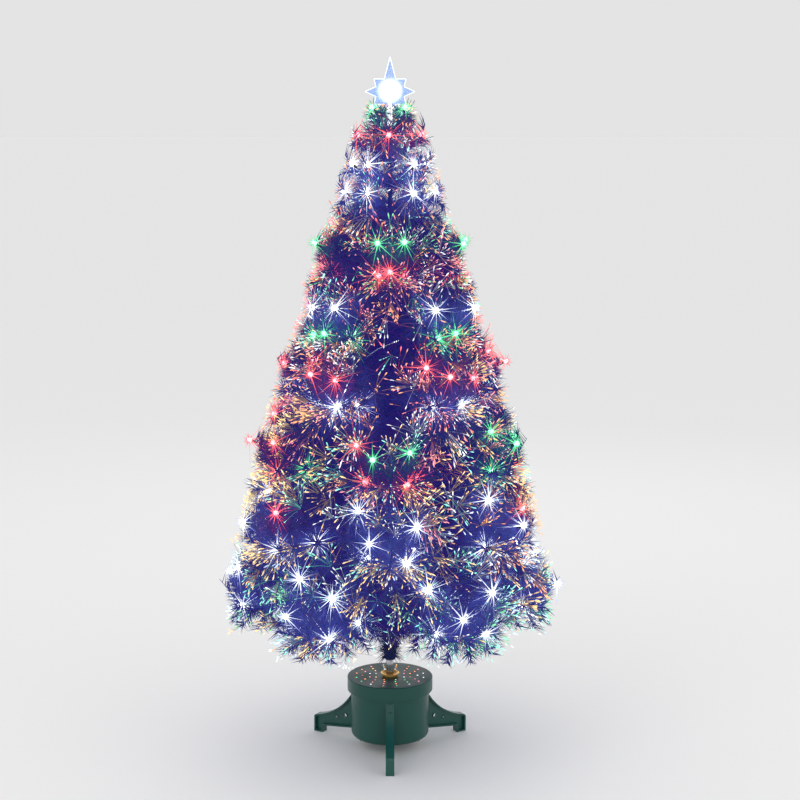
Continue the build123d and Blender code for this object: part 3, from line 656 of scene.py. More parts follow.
FINISHES = (
    Finish(
        "housing_green", (0.006, 0.062, 0.050), (0.010, 0.082, 0.066), 0.34, 0.48, 22, 900, 0.10,
        coat=0.05, specular=0.3,
    ),
    # The legs' green is the housing's green made lighter, a painted lit copy for the light the legs catch
    Finish(
        "leg_green_painted_lighter", (0.008, 0.074, 0.060), (0.012, 0.096, 0.078), 0.30, 0.46, 30, 900, 0.12,
        coat=0.15, specular=0.4,
    ),
    Finish("screw_steel", (0.42, 0.42, 0.44), (0.34, 0.34, 0.36), 0.25, 0.4, 200, 1800, 0.1, metallic=1.0),
    # The brass dish's flat light is a painted warm reflection of the tree's light in the brass
    Finish(
        "socket_brass", (0.78, 0.52, 0.20), (0.66, 0.42, 0.15), 0.16, 0.3, 90, 1500, 0.06,
        metallic=1.0, flat_light=(0.16, 0.085, 0.022),
    ),
    Finish("lamp_ceramic", (0.80, 0.77, 0.70), (0.72, 0.68, 0.60), 0.55, 0.75, 60, 1200, 0.2),
    Finish("lamp_glass", (0.95, 0.92, 0.82), (0.90, 0.86, 0.75), 0.05, 0.12, 60, 900, 0.0, clear=0.85),
    Finish("wheel_clear", (0.60, 0.12, 0.45), (0.10, 0.45, 0.35), 0.12, 0.2, 14, 900, 0.03, clear=0.6),
    Finish("motor_steel", (0.45, 0.45, 0.46), (0.38, 0.38, 0.40), 0.3, 0.5, 80, 1400, 0.1, metallic=1.0),
    Finish("jack_black", (0.012, 0.012, 0.013), (0.02, 0.02, 0.021), 0.3, 0.5, 120, 1500, 0.1),
    Finish(
        "pole_steel", (0.58, 0.58, 0.60), (0.48, 0.48, 0.51), 0.12, 0.25, 60, 500, 0.05,
        stretch=(1.0, 1.0, 0.06), metallic=1.0,
    ),
    Finish("ferrule_brass", (0.60, 0.40, 0.16), (0.48, 0.30, 0.11), 0.2, 0.35, 90, 1500, 0.06, metallic=1.0),
    Finish("fibre_core", (0.70, 0.76, 0.80), (0.55, 0.62, 0.70), 0.15, 0.3, 400, 2500, 0.2, clear=0.3),
    Finish("collar_green", (0.008, 0.040, 0.028), (0.012, 0.056, 0.040), 0.35, 0.5, 60, 1100, 0.1),
    # The needles' light is painted: the blue glow and the bulbs' light that their glow attribute holds
    Finish(
        "needle_green", (0.003, 0.014, 0.016), (0.006, 0.022, 0.020), 0.5, 0.7, 120, 900, 0.0,
        specular=0.2, light=1.0, flicker=0.5,
    ),
    Finish("twig_green", (0.008, 0.030, 0.018), (0.020, 0.045, 0.026), 0.5, 0.7, 300, 1600, 0.4),
    Finish(
        "fibre_clear", (0.030, 0.035, 0.11), (0.020, 0.025, 0.08), 0.3, 0.4, 90, 900, 0.0,
        specular=0.3, light=0.36, flicker=0.6,
    ),
    Finish(
        "fibre_end", (0.10, 0.10, 0.11), (0.08, 0.08, 0.10), 0.3, 0.4, 90, 900, 0.0,
        specular=0.3, light=1.45, flicker=0.9,
    ),
    Finish("bulb_holder", (0.008, 0.040, 0.026), (0.012, 0.052, 0.034), 0.35, 0.5, 300, 1800, 0.1),
    Finish(
        "bulb_lens", (0.80, 0.82, 0.85), (0.75, 0.78, 0.82), 0.06, 0.12, 300, 900, 0.0,
        light=5.0, flicker=0.1,
    ),
    Finish(
        "star_clear", (0.70, 0.78, 0.93), (0.60, 0.70, 0.90), 0.05, 0.12, 40, 500, 0.04,
        clear=0.8, flat_light=(0.03, 0.05, 0.11),
        middle_light=(0.85, 0.89, 0.96), middle=(0.0, -0.006, 1.716), middle_reach=(0.008, 0.038),
    ),
    Finish(
        "star_rim", (0.85, 0.90, 0.98), (0.80, 0.86, 0.96), 0.10, 0.2, 40, 500, 0.0,
        flat_light=(0.7, 0.76, 0.95),
    ),
    Finish(
        "star_lamp_white", (0.85, 0.86, 0.86), (0.80, 0.81, 0.82), 0.3, 0.45, 80, 900, 0.05,
        flat_light=(1.6, 1.7, 1.8),
    ),
    Finish("vent_green", (0.010, 0.050, 0.045), (0.016, 0.070, 0.060), 0.35, 0.5, 22, 900, 0.10),
    Finish("lid_light", (0.6, 0.6, 0.6), (0.5, 0.5, 0.5), 0.2, 0.3, 200, 900, 0.0, light=2.5, flicker=0.3),
)


class Workshop:
    """The materials and unit shapes, and the calls that finish every piece."""

    NEEDLES = ("needle_green",)
    FIBRES = ("fibre_clear", "fibre_end")

    def __init__(self) -> None:
        """Build the groups, the materials and the shapes."""
        groups = Groups.moulded_surface(), Groups.carried_light(), Groups.lit_middle()
        self.materials = {finish.name: finish.material(*groups) for finish in FINISHES}
        self.shapes = UnitShapes()

    def dress_node(self, node: str, finish: str) -> None:
        """Give a carried-over CAD node a finish."""
        mesh = frame["nodes"][node].data
        mesh.materials.clear()
        mesh.materials.append(self.materials[finish])
        log.info("%s: finish %s", node, finish)

    def make(
        self, copies: Copies, name: str, finishes: tuple[str, ...], body: str, slot: str, *nodes: str
    ) -> BlenderObject:
        """Make gathered copies one piece that rides on a body. Needles keep flat faces.

        Args:
            copies: the copies.
            name: the piece's name.
            finishes: its finishes, in the order of the shapes' material numbers.
            body: the CAD body that it moves with.
            slot: the record's material slot, or nothing; not used.
            nodes: the CAD nodes that it replaces.

        Returns:
            The piece.
        """
        piece = copies.piece(name, [self.materials[key] for key in finishes], finishes != self.NEEDLES)
        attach(piece, body)
        if nodes:
            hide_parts(*nodes)
        log.info("%s: rides on %s, %d faces", piece.name, body, len(piece.data.polygons))
        return piece


@dataclass
class Sprigs:
    """The wires that needles and fibres grow from: a root, a direction and a length for each."""

    roots: list[Array] = field(default_factory=list)
    directions: list[Array] = field(default_factory=list)
    lengths: list[float] = field(default_factory=list)
    radii: list[float] = field(default_factory=list)

    STEEP = 0.9

    def add(self, root: Array, direction: Array, length: float, radius: float) -> None:
        """Add one sprig of wire."""
        self.roots.append(root)
        self.directions.append(direction / np.linalg.norm(direction))
        self.lengths.append(length)
        self.radii.append(radius)

    def end(self, i: int, share: float) -> Array:
        """A point some share of the way along a sprig."""
        return self.roots[i] + self.directions[i] * self.lengths[i] * share

    def wires(self, copies: Copies, shape: Shape, light: Array) -> None:
        """Copy the wire shape along every sprig, in one colour of light."""
        directions = np.array(self.directions)
        leanings = np.where(np.abs(directions[:, 2:]) < self.STEEP, UP, np.array([1.0, 0.0, 0.0]))
        bases = bases_along(directions, leanings, np.array(self.radii), np.array(self.lengths))
        copies.add(shape, np.array(self.roots), bases, np.tile(light, (len(directions), 1)))


class Foliage:
    """How needles, fibres and bulbs grow on sprigs."""

    NEEDLE_STEP = 0.00094
    NEEDLE_LEAST = 6
    NEEDLE_LENGTHS = (0.028, 0.046)
    NEEDLE_WIDTH = 0.0019
    NEEDLE_WIDTH_SPREAD = (0.8, 1.2)
    NEEDLE_LEANS = (34.0, 72.0)
    NEEDLE_CUT = 0.6
    FUR_SLACK = 0.006
    LENS_PLACE = 0.019
    BULB_CLEARING = 0.021
    CLEAR_SHARES = (0.6, 1.0)
    # Rays: fine needles round each bulb with its light painted along them, fading from its core colour to
    # its painted halo colour
    RAY_COUNT = 38
    RAY_LENGTHS = (0.034, 0.078)
    RAY_WIDTH = 0.0014
    RAY_LEVEL = 2.3
    RAY_END_LEVEL = 0.7
    RAY_WANDER = 0.12
    RAY_PUSH = 0.2
    RAY_START = 0.003
    RAY_CUT = 0.3
    GOLDEN_ANGLE = math.pi * (3 - math.sqrt(5))
    # Painted light: the blue glow that the needles give all over, with a violet share and a random spread in
    # strength
    PAINTED_BLUE_GLOW = np.array([0.007, 0.008, 0.130])
    PAINTED_VIOLET_GLOW = np.array([0.034, 0.006, 0.115])
    PAINTED_GLOW_SPREAD = (0.6, 1.3)
    # Strength of each bulb's painted light on the foliage
    HALO_LEVEL = 0.75
    TIP_CREAM = np.array([0.14, 0.11, 0.07])
    TIP_SHARE = 0.9
    MAIN_COLOUR_SHARE = 0.82
    PALEST = 0.15
    FIBRE_LEVELS = (0.6, 1.4)
    FIBRE_SIZES = (0.5, 1.15)
    FIBRE_LEAST = 0.3
    FIBRE_CUT = 0.84
    FIBRE_CUTS = 4
    FIBRE_TURNS = (-0.4, 1.0)
    FIBRE_SAG = 0.5
    WIDEST_SPREAD = 100

    def __init__(self, shop: Workshop, seats: list[Seat]) -> None:
        """Keep the shapes, and where the bulbs shine, the colour of their light painted on the foliage and
        how far it reaches.
        """
        self.shop = shop
        self.bulb_places = np.array([seat.root + seat.heading * self.LENS_PLACE for seat in seats])
        self.bulb_colours = np.array([seat.colour.halo for seat in seats])
        self.halo_lengths = np.array([seat.colour.halo_length for seat in seats])

    def from_bulbs(self, places: Array) -> Array:
        """How far some places, n by 3, lie from each bulb."""
        return np.linalg.norm(places[:, None, :] - self.bulb_places[None], axis=2)

    def lit_by_bulbs(self, places: Array, rng: Rng) -> Array:
        """The painted light for some places inside the tree.

        Args:
            places: the places, n by 3.
            rng: the piece's own random numbers.

        Returns:
            A colour for each place: a painted deep blue glow over the whole tree, with the bulbs' light
                painted round each bulb.
        """
        # Painted light: a blue glow everywhere, plus each bulb's light painted on the foliage round it
        mix = rng.random((len(places), 1)) ** 2
        painted_blue = self.PAINTED_BLUE_GLOW * (1 - mix) + self.PAINTED_VIOLET_GLOW * mix
        painted_blue = painted_blue * rng.uniform(*self.PAINTED_GLOW_SPREAD, (len(places), 1))
        halo = self.HALO_LEVEL * np.exp(-self.from_bulbs(places) / self.halo_lengths)
        return painted_blue + halo @ self.bulb_colours

    def needles(self, copies: Copies, sprigs: Sprigs, rng: Rng) -> None:
        """Grow needles all round each sprig, leaning towards its end, with each bulb left open to view.

        Args:
            copies: what the needles are added to.
            sprigs: the sprigs.
            rng: the piece's own random numbers.
        """
        counts = [max(self.NEEDLE_LEAST, int(length / self.NEEDLE_STEP)) for length in sprigs.lengths]
        owner = np.repeat(np.arange(len(counts)), counts)
        roots, lengths = np.array(sprigs.roots)[owner], np.array(sprigs.lengths)[owner]
        along = np.array(sprigs.directions)[owner]
        total = len(owner)
        roots = roots + along * (lengths * rng.random(total))[:, None]
        helper = unit(rng.normal(size=(total, 3)))
        aside = unit(np.cross(along, helper))
        lean = np.radians(rng.uniform(*self.NEEDLE_LEANS, total))[:, None]
        directions = along * np.cos(lean) + aside * np.sin(lean)
        size = rng.uniform(*self.NEEDLE_LENGTHS, total)
        width = self.NEEDLE_WIDTH * rng.uniform(*self.NEEDLE_WIDTH_SPREAD, total)
        fits = inside_cone(roots + directions * size[:, None], self.FUR_SLACK)
        size = np.where(fits, size, size * self.NEEDLE_CUT)
        kept = inside_cone(roots + directions * size[:, None], self.FUR_SLACK)
        for share in self.CLEAR_SHARES:
            away = self.from_bulbs(roots + directions * (size * share)[:, None])
            kept &= away.min(axis=1) > self.BULB_CLEARING
        roots, directions, size, width = roots[kept], directions[kept], size[kept], width[kept]
        bases = bases_along(directions, rng.normal(size=(len(roots), 3)), width, size)
        light = self.lit_by_bulbs(roots + directions * size[:, None], rng)
        copies.add(self.shop.shapes.needle, roots, bases, light)

    def rays(self, copies: Copies, seats: list[Seat], rng: Rng) -> None:
        """Set fine needles evenly round each bulb, with its light painted along them.

        Args:
            copies: what the needles are added to.
            seats: the bulbs.
            rng: the piece's own random numbers.
        """
        numbers = np.arange(self.RAY_COUNT)
        heights = 1 - (2 * numbers + 1) / self.RAY_COUNT
        rounds = np.sqrt(1 - heights**2)
        for root, heading, colour in seats:
            angles = numbers * self.GOLDEN_ANGLE + rng.uniform(0, 2 * math.pi)
            even = np.stack([rounds * np.cos(angles), rounds * np.sin(angles), heights], axis=1)
            wander = self.RAY_WANDER * rng.normal(size=even.shape)
            directions = unit(even + wander + self.RAY_PUSH * heading)
            places = root + heading * self.LENS_PLACE + directions * self.RAY_START
            size = rng.uniform(*self.RAY_LENGTHS, self.RAY_COUNT)
            fits = inside_cone(places + directions * size[:, None], self.FUR_SLACK)
            size = np.where(fits, size, size * self.RAY_CUT)
            bases = bases_along(directions, rng.normal(size=(self.RAY_COUNT, 3)), self.RAY_WIDTH, size)
            light = np.tile(colour.core, (self.RAY_COUNT, 1)) * self.RAY_LEVEL
            ends = np.tile(colour.halo, (self.RAY_COUNT, 1)) * self.RAY_END_LEVEL
            copies.add(self.shop.shapes.needle, places, bases, light, ends)

    def spray(
        self,
        copies: Copies,
        root: Array,
        axis: Array,
        count: int,
        spread: float,
        colours: dict[Glow, float],
        rng: Rng,
    ) -> None:
        """Fan some fibres out of one point, inside the tree's cone.

        Args:
            copies: what the fibres are added to.
            root: where the spray starts.
            axis: the middle direction of the spray.
            count: how many fibres it has.
            spread: the usual angle of a fibre off the axis, in degrees.
            colours: the share of each colour among the sprays here.
            rng: the piece's own random numbers.
        """
        shapes = self.shop.shapes
        names = list(colours)
        shares = np.array([colours[name] for name in names])
        shares = shares / shares.sum()
        main = names[rng.choice(len(names), p=shares)]
        odd = rng.choice(len(names), count, p=shares)
        keeps = rng.random(count) < self.MAIN_COLOUR_SHARE
        light = np.where(keeps[:, None], main.rgb, np.array([name.rgb for name in names])[odd])
        paleness = rng.uniform(0.0, self.PALEST, (count, 1))
        light = (light * (1 - paleness) + paleness) * rng.uniform(*self.FIBRE_LEVELS, (count, 1))
        off = np.abs(rng.normal(0, np.radians(spread), count))
        off = off.clip(0, np.radians(self.WIDEST_SPREAD))[:, None]
        aside = unit(np.cross(axis, unit(rng.normal(size=(count, 3)))))
        directions = unit(axis * np.cos(off) + aside * np.sin(off))
        size = rng.uniform(*self.FIBRE_SIZES, count)
        reach = shapes.FIBRE_LENGTH + shapes.TIP_LENGTH
        for _ in range(self.FIBRE_CUTS):
            fits = inside_cone(root + directions * (size * reach)[:, None], 0)
            size = np.where(fits, size, size * self.FIBRE_CUT)
        fits = inside_cone(root + directions * (size * reach)[:, None], self.FUR_SLACK)
        fits &= size > self.FIBRE_LEAST
        bends = rng.integers(0, len(shapes.fibres), count)
        leanings = aside * rng.uniform(*self.FIBRE_TURNS, (count, 1)) - UP * self.FIBRE_SAG
        bases = bases_along(directions, leanings, size, size)
        for number, shape in enumerate(shapes.fibres):
            chosen = fits & (bends == number)
            roots = np.repeat(root[None], chosen.sum(), axis=0)
            ends = self.TIP_SHARE * light[chosen] + self.TIP_CREAM
            copies.add(shape, roots, bases[chosen], light[chosen], ends)

    def bulbs(self, name: str, body: str, seats: list[Seat], leanings: Array) -> BlenderObject:
        """Make one piece of all the bulbs of a branch or of the top.

        Args:
            name: the piece's name.
            body: the body that it rides on.
            seats: the bulbs.
            leanings: what each bulb's X leans towards, n by 3.

        Returns:
            The piece.
        """
        bulbs = Copies()
        bases = bases_along(np.array([seat.heading for seat in seats]), leanings, 1.0, 1.0)
        cores = np.array([seat.colour.core for seat in seats])
        bulbs.add(self.shop.shapes.bulb, np.array([seat.root for seat in seats]), bases, cores)
        return self.shop.make(bulbs, name, ("bulb_holder", "bulb_lens"), body, "")


def both(share: float, turn: float, tilt: float, length: float) -> tuple[tuple[float, ...], ...]:
    """A sprig and the one opposite it, which is turned the other way."""
    return (share, turn, tilt, length), (share, -turn, tilt, length)


class HingedBranch:
    """One branch: wire stem with its eye, twigs, needles, fibre sprays and bulbs."""

    SEED_STEP = 100
    HINGE_RADIUS = 0.034
    FOLD_ANGLE = 65.0
    FOLIAGE_START = 0.046
    FOLIAGE_GAP = 0.008
    STRAND_LENGTH = 0.030
    STEM_SHARE = 0.92
    STEM_WIRE = 0.003
    TWIG_WIRE = 0.0016
    SPRIG_WIRE = 0.0011
    TWIG_SPREAD = 42.0
    TWIG_SIDE_GAP = 0.009
    TWIG_PLACES = (0.12, 0.36, 0.58, 0.78)
    TWIG_ROOMS = (1.0, 0.85, 0.62, 0.38)
    SQUASH_KEEP = 0.4
    # How far a sprig is stretched where it has room below the cone's surface
    STRETCHES = (1.6, 1.4, 1.2)
    FUR_DEPTH = 0.026
    # Share along the twig, turn as a share of the twig's own, tilt out of the plane, length as a
    # share of the rise
    SIDE_SPRIGS = (
        (0.5, 0.6, 54.0, 1.1), (0.75, 1.2, -40.0, 0.65), (0.15, 1.6, 42.0, 0.8), (0.85, 1.3, 20.0, 0.6),
        (0.95, 0.5, 66.0, 1.0),
    )
    # The same along the stem, with the turn in degrees
    STEM_SPRIGS = (
        *both(0.13, 66.0, 44.0, 0.95), *both(0.13, 50.0, -34.0, 0.8), (0.11, 10.0, 76.0, 1.0),
        *both(0.20, 20.0, 64.0, 1.0), (0.22, 0.0, -52.0, 0.7), *both(0.30, 56.0, 22.0, 0.9),
        *both(0.34, 26.0, 56.0, 1.0), (0.45, 0.0, -38.0, 0.6), (0.5, 12.0, 56.0, 1.0),
        (0.58, -12.0, 52.0, 1.0), (0.66, 0.0, -34.0, 0.6), (0.72, 14.0, 56.0, 1.0),
        (0.86, -10.0, 54.0, 1.0), (0.88, 8.0, -34.0, 0.6), (0.97, 16.0, 64.0, 1.05),
        (0.97, -16.0, -46.0, 0.6), *both(0.14, 84.0, 6.0, 1.0), *both(0.22, 76.0, 34.0, 0.9),
        *both(0.20, 70.0, -16.0, 0.9),
    )
    # The lowest tier has these too, which hide the trunk below it
    SKIRT_SPRIGS = (
        *both(0.12, 60.0, -62.0, 0.9), (0.14, 0.0, -70.0, 1.0), *both(0.28, 40.0, -52.0, 0.8),
        (0.40, 0.0, -50.0, 0.7),
    )
    TWIG_WANDER = 10
    STEM_WANDER = 14
    TILT_WANDER = 7
    # Bulbs on raised sprigs, on twigs and at the stem's end: place, lift and tilt
    RAISED_PLACE = 0.9
    FLAT_SEAT = (0.95, 0.006, 0.5)
    END_SEAT = (0.95, 0.012, 0.6)
    FULL_SET = 6
    # The twigs' and the raised sprigs' sprays: how many fibres, and the chance of one
    SPRAYS = ((24, 1.0), (19, 0.34))
    SPRAY_PLACE = 0.85
    SPRAY_LEAN = 0.35
    SPRAY_SPREAD = 27
    SPRAY_DEPTHS = (0.45, 0.8)
    SPRAY_SHARES = (0.35, 1.0)
    END_SPRAY_PLACE = 0.9
    END_SPRAY = (26, 34)
    # The left side of these tiers has more gold
    GOLD_TIERS = (2, 3)
    GOLD_SIDE = -0.5
    GOLD_GAIN = 7.0

    def __init__(self, tier: Tier, number: int) -> None:
        """Work out the branch's axes from its joint in the frame."""
        self.tier = tier
        self.name = f"branch_{tier.number}_{number}"
        joint = next(j for j in frame["joints"] if j["name"] == f"{self.name}_fold")
        self.hinge = np.array(joint["pos_m"])
        outward = np.cross(np.array(joint["axis"]), UP)
        self.outward = -outward if outward @ self.hinge < 0 else outward
        self.along = swung(self.outward, UP, tier.slope)
        self.aside = np.cross(UP, self.outward)
        self.normal = np.cross(self.along, self.aside)
        self.reach = tier.tip_radius - self.HINGE_RADIUS - self.STRAND_LENGTH
        self.rng = np.random.default_rng(self.SEED_STEP * tier.number + number)
        self.flat = Sprigs()
        self.raised = Sprigs()
        self.grow()

    def on_stem(self, share: float) -> Array:
        """A point some share of the way along the stem."""
        return self.hinge + self.along * self.reach * share

    def add_sprig(self, root: Array, turn: float, tilt: float, share: float, wander: float) -> None:
        """Add a raised sprig, stretched where that brings its needles to the lit cone.

        Args:
            root: where it starts.
            turn: its angle off the stem, in the branch's plane.
            tilt: its angle out of that plane.
            share: its plain length, as a share of the tier's rise.
            wander: how far its turn may stray.
        """
        heading = swung(self.along, self.aside, turn + self.rng.uniform(-wander, wander))
        tilt = tilt + self.rng.uniform(-self.TILT_WANDER, self.TILT_WANDER)
        direction = swung(heading, self.normal, tilt)
        length = self.tier.rise * share
        for stretch in self.STRETCHES:
            if inside_cone((root + direction * length * stretch)[None], -self.FUR_DEPTH)[0]:
                length = length * stretch
                break
        self.raised.add(root, direction, length, self.SPRIG_WIRE)

    def grow(self) -> None:
        """Lay out the stem, its side twigs and the raised and lowered sprigs."""
        tier = self.tier
        self.flat.add(self.hinge, self.along, self.reach * self.STEM_SHARE, self.STEM_WIRE)
        tangent = math.tan(math.pi / tier.count)
        folded = math.cos(math.radians(tier.slope + self.FOLD_ANGLE))
        spread = math.radians(self.TWIG_SPREAD)
        for place, use in list(zip(self.TWIG_PLACES, self.TWIG_ROOMS))[: tier.pairs]:
            along = self.FOLIAGE_START + place * (self.reach - self.FOLIAGE_START)
            half_width = (self.HINGE_RADIUS + along * folded) * tangent - self.TWIG_SIDE_GAP
            room = half_width / (math.sin(spread) - math.cos(spread) * folded * tangent)
            length = room * use - self.STRAND_LENGTH
            for side in (-1, 1):
                direction = swung(self.along, self.aside, side * self.TWIG_SPREAD)
                self.flat.add(self.hinge + self.along * along, direction, length, self.TWIG_WIRE)
        for i in range(1, len(self.flat.roots)):
            side = 1 if i % 2 == 0 else -1
            for share, turn, tilt, length in self.SIDE_SPRIGS:
                root = self.flat.end(i, share)
                self.add_sprig(root, side * self.TWIG_SPREAD * turn, tilt, length, self.TWIG_WANDER)
        stem_sprigs = self.STEM_SPRIGS + (self.SKIRT_SPRIGS if tier.number == 1 else ())
        for share, turn, tilt, length in stem_sprigs:
            self.add_sprig(self.on_stem(share), turn, tilt, length, self.STEM_WANDER)

    def bulb_seats(self) -> list[Seat]:
        """Where the bulbs sit: by turns on a twig and on a raised sprig of the outer pairs."""
        seats = []
        low, high = self.tier.low_bulbs, self.tier.high_bulbs
        for pair in range(1, self.tier.pairs):
            for side in (0, 1):
                i = 1 + 2 * pair + side
                raise_it = (pair + side) % 2 == 1
                colours = high if raise_it else low
                colour = colours[int(self.rng.integers(len(colours)))]
                if raise_it:
                    sprig = len(self.SIDE_SPRIGS) * (i - 1)
                    root = self.raised.end(sprig, self.RAISED_PLACE)
                    heading = self.raised.directions[sprig] + self.outward
                else:
                    place, lift, tilt = self.FLAT_SEAT
                    root = self.flat.end(i, place) + self.normal * lift
                    heading = self.flat.directions[i] + self.normal * tilt
                seats.append(Seat(root, heading / np.linalg.norm(heading), colour))
        if len(seats) < self.FULL_SET:
            place, lift, tilt = self.END_SEAT
            heading = self.along + self.normal * tilt
            root = self.on_stem(place) + self.normal * lift
            seats.append(Seat(root, heading / np.linalg.norm(heading), low[0]))
        return seats

    def leafy(self) -> Sprigs:
        """The flat sprigs where needles grow: all but the bare root of the stem."""
        leafy = Sprigs()
        bare = self.FOLIAGE_START - self.FOLIAGE_GAP
        leafy.add(self.hinge + self.along * bare, self.along, self.reach - bare, self.STEM_WIRE)
        for i in range(1, len(self.flat.roots)):
            leafy.add(self.flat.roots[i], self.flat.directions[i], self.flat.lengths[i], self.TWIG_WIRE)
        return leafy

    def build(self, foliage: Foliage, seats: list[Seat]) -> None:
        """Make the branch's pieces.

        Args:
            foliage: how needles and fibres grow.
            seats: the branch's bulbs.
        """
        shop, body, slot = foliage.shop, f"{self.name}_body", "foliage_green"
        twigs = Copies()
        self.flat.wires(twigs, shop.shapes.wire, foliage.PAINTED_BLUE_GLOW)
        eye = bases_along(self.aside[None], self.outward[None], 1.0, 1.0)
        twigs.add(shop.shapes.eye, self.hinge[None], eye, np.zeros((1, 3)))
        shop.make(twigs, f"{self.name}_twigs", ("twig_green",), body, slot, self.name)

        needles = Copies()
        self.raised.wires(needles, shop.shapes.wire, foliage.PAINTED_BLUE_GLOW)
        foliage.needles(needles, self.leafy(), self.rng)
        foliage.needles(needles, self.raised, self.rng)
        foliage.rays(needles, seats, self.rng)
        soft = [shop.make(needles, f"{self.name}_needles", shop.NEEDLES, body, slot, self.name)]

        fibres = Copies()
        colours = dict(self.tier.fibre_colours)
        if self.tier.number in self.GOLD_TIERS and self.outward[0] < self.GOLD_SIDE:
            colours[Glow.GOLD] *= self.GOLD_GAIN
        for sprigs, (count, chance) in zip((self.flat, self.raised), self.SPRAYS):
            for i in range(len(sprigs.roots)):
                end = sprigs.end(i, self.SPRAY_PLACE)
                lean = unit(sprigs.directions[i] + self.SPRAY_LEAN * self.outward)
                depth = np.hypot(end[0], end[1]) / cone_radius(end[2])
                number = int(count * float(np.interp(depth, self.SPRAY_DEPTHS, self.SPRAY_SHARES))) + 1
                if self.rng.random() < chance:
                    foliage.spray(fibres, end, lean, number, self.SPRAY_SPREAD, colours, self.rng)
        tip = self.on_stem(self.END_SPRAY_PLACE)
        foliage.spray(fibres, tip, self.along, *self.END_SPRAY, colours, self.rng)
        soft.append(shop.make(fibres, f"{self.name}_fibres", shop.FIBRES, body, slot))
        leanings = np.tile(self.aside, (len(seats), 1))
        soft.append(foliage.bulbs(f"{self.name}_bulbs", body, seats, leanings))
        for piece in soft:
            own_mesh(piece)


@dataclass
class TreeTop:
    """The fixed sprays round the leader rod, from the pole's top to the star."""

    seed: int = 7
    heights: tuple[float, ...] = (1.414, 1.474, 1.536, 1.594)
    tip_radii: tuple[float, ...] = (0.142, 0.124, 0.106, 0.074)
    counts: tuple[int, ...] = (6, 5, 5, 4)
    slopes: tuple[float, ...] = (18.0, 26.0, 35.0, 50.0)
    turns: tuple[float, ...] = (0.0, 20.0, 52.0, 40.0)
    strand_length: float = 0.030
    arm_start: float = 0.006
    arm_wire: float = 0.0018
    bulb_colours: tuple[Glow, ...] = (Glow.WHITE, Glow.WHITE, Glow.RED, Glow.GREEN)
    bulb_seat: Triple = (0.84, 0.005, 0.5)
    # The twigs of an arm: share along it and lift
    twigs: tuple[Pair, ...] = (
        (0.3, 0.8), (0.55, 0.9), (0.8, 0.5), (0.5, -0.9), (0.95, 1.3), (0.9, -1.0),
    )
    twig_wander: float = 0.5
    twig_length: float = 0.040
    twig_wire: float = 0.001
    # Sprigs that hang over the highest hinges: turn in radians, height, falls, and each one's drop
    droop_count: int = 20
    droop_turn: float = 2.4
    droop_top: float = 1.400
    droop_falls: Pair = (-0.3, 0.25)
    droop_drop: float = 0.0015
    droop_length: float = 0.100
    # A fuller ring above them: turn in degrees, falls, drop, length and wire
    skirt_count: int = 14
    skirt_turn: float = 15
    skirt_falls: Pair = (-0.12, 0.14)
    skirt_size: Triple = (0.010, 0.124, 0.0012)
    # The needles round the leader rod itself: drop, length and wire
    hub_size: Triple = (0.018, 0.238, 0.0065)
    spray_place: float = 0.8
    spray: tuple[int, float] = (9, 28)
    crown_heights: tuple[float, ...] = (1.625, 1.64, 1.655)
    crown_count: int = 6
    crown_twist: float = 1000
    crown_rise: float = 0.9
    crown_spray: tuple[int, float] = (6, 24)
    fibre_colours: tuple[tuple[Glow, float], ...] = (
        (Glow.PINK, 0.24), (Glow.ORANGE, 0.26), (Glow.WHITE, 0.18), (Glow.TEAL, 0.22), (Glow.GOLD, 0.10),
    )

    def arms(self) -> Sprigs:
        """The arms, as sprigs from the leader rod outwards."""
        arms = Sprigs()
        for height, tip, count, slope, turn in zip(
            self.heights, self.tip_radii, self.counts, self.slopes, self.turns
        ):
            length = tip / math.cos(math.radians(slope)) - self.strand_length
            for i in range(count):
                direction = swung(around(math.radians(turn + 360 * i / count)), UP, slope)
                arms.add(UP * height + direction * self.arm_start, direction, length, self.arm_wire)
        return arms

    def bulb_seats(self) -> list[Seat]:
        """Where the top's bulbs sit, one on each arm."""
        arms, seats = self.arms(), []
        place, lift, tilt = self.bulb_seat
        levels = [level for level, count in enumerate(self.counts) for _ in range(count)]
        for i, level in enumerate(levels):
            heading = unit(arms.directions[i] + tilt * UP)
            seats.append(Seat(arms.end(i, place) + UP * lift, heading, self.bulb_colours[level]))
        return seats

    def sprigs(self, rng: Rng) -> Sprigs:
        """The arms with their twigs, the drooping sprigs and the skirt."""
        arms, sprigs = self.arms(), Sprigs()
        for i in range(len(arms.roots)):
            sprigs.add(arms.roots[i], arms.directions[i], arms.lengths[i], self.arm_wire)
            for share, lift in self.twigs:
                lean = unit(arms.directions[i] + lift * UP + self.twig_wander * rng.normal(size=3))
                sprigs.add(arms.end(i, share), lean, self.twig_length, self.twig_wire)
        fall, more = self.droop_falls
        for k in range(self.droop_count):
            lean = around(self.droop_turn * k, fall - more * (k % 3))
            root = UP * (self.droop_top - self.droop_drop * k)
            sprigs.add(root, unit(lean), self.droop_length, self.twig_wire)
        (fall, more), (drop, length, wire) = self.skirt_falls, self.skirt_size
        for k in range(self.skirt_count):
            angle = math.radians(self.skirt_turn + 360 * k / self.skirt_count)
            lean = around(angle, fall + more * (k % 2))
            sprigs.add(UP * self.heights[0] - UP * drop, unit(lean), length, wire)
        return sprigs

    def build(self, foliage: Foliage, seats: list[Seat]) -> None:
        """Make the top's pieces.

        Args:
            foliage: how needles and fibres grow.
            seats: the top's bulbs.
        """
        shop, rng = foliage.shop, np.random.default_rng(self.seed)
        sprigs, hub = self.sprigs(rng), Sprigs()
        drop, length, wire = self.hub_size
        hub.add(UP * self.heights[0] - UP * drop, UP, length, wire)
        needles = Copies()
        for grown in (sprigs, hub):
            grown.wires(needles, shop.shapes.wire, foliage.PAINTED_BLUE_GLOW)
            foliage.needles(needles, grown, rng)
        foliage.rays(needles, seats, rng)
        shop.make(needles, "top_needles", shop.NEEDLES, "tree", "foliage_green", "top_sprays")

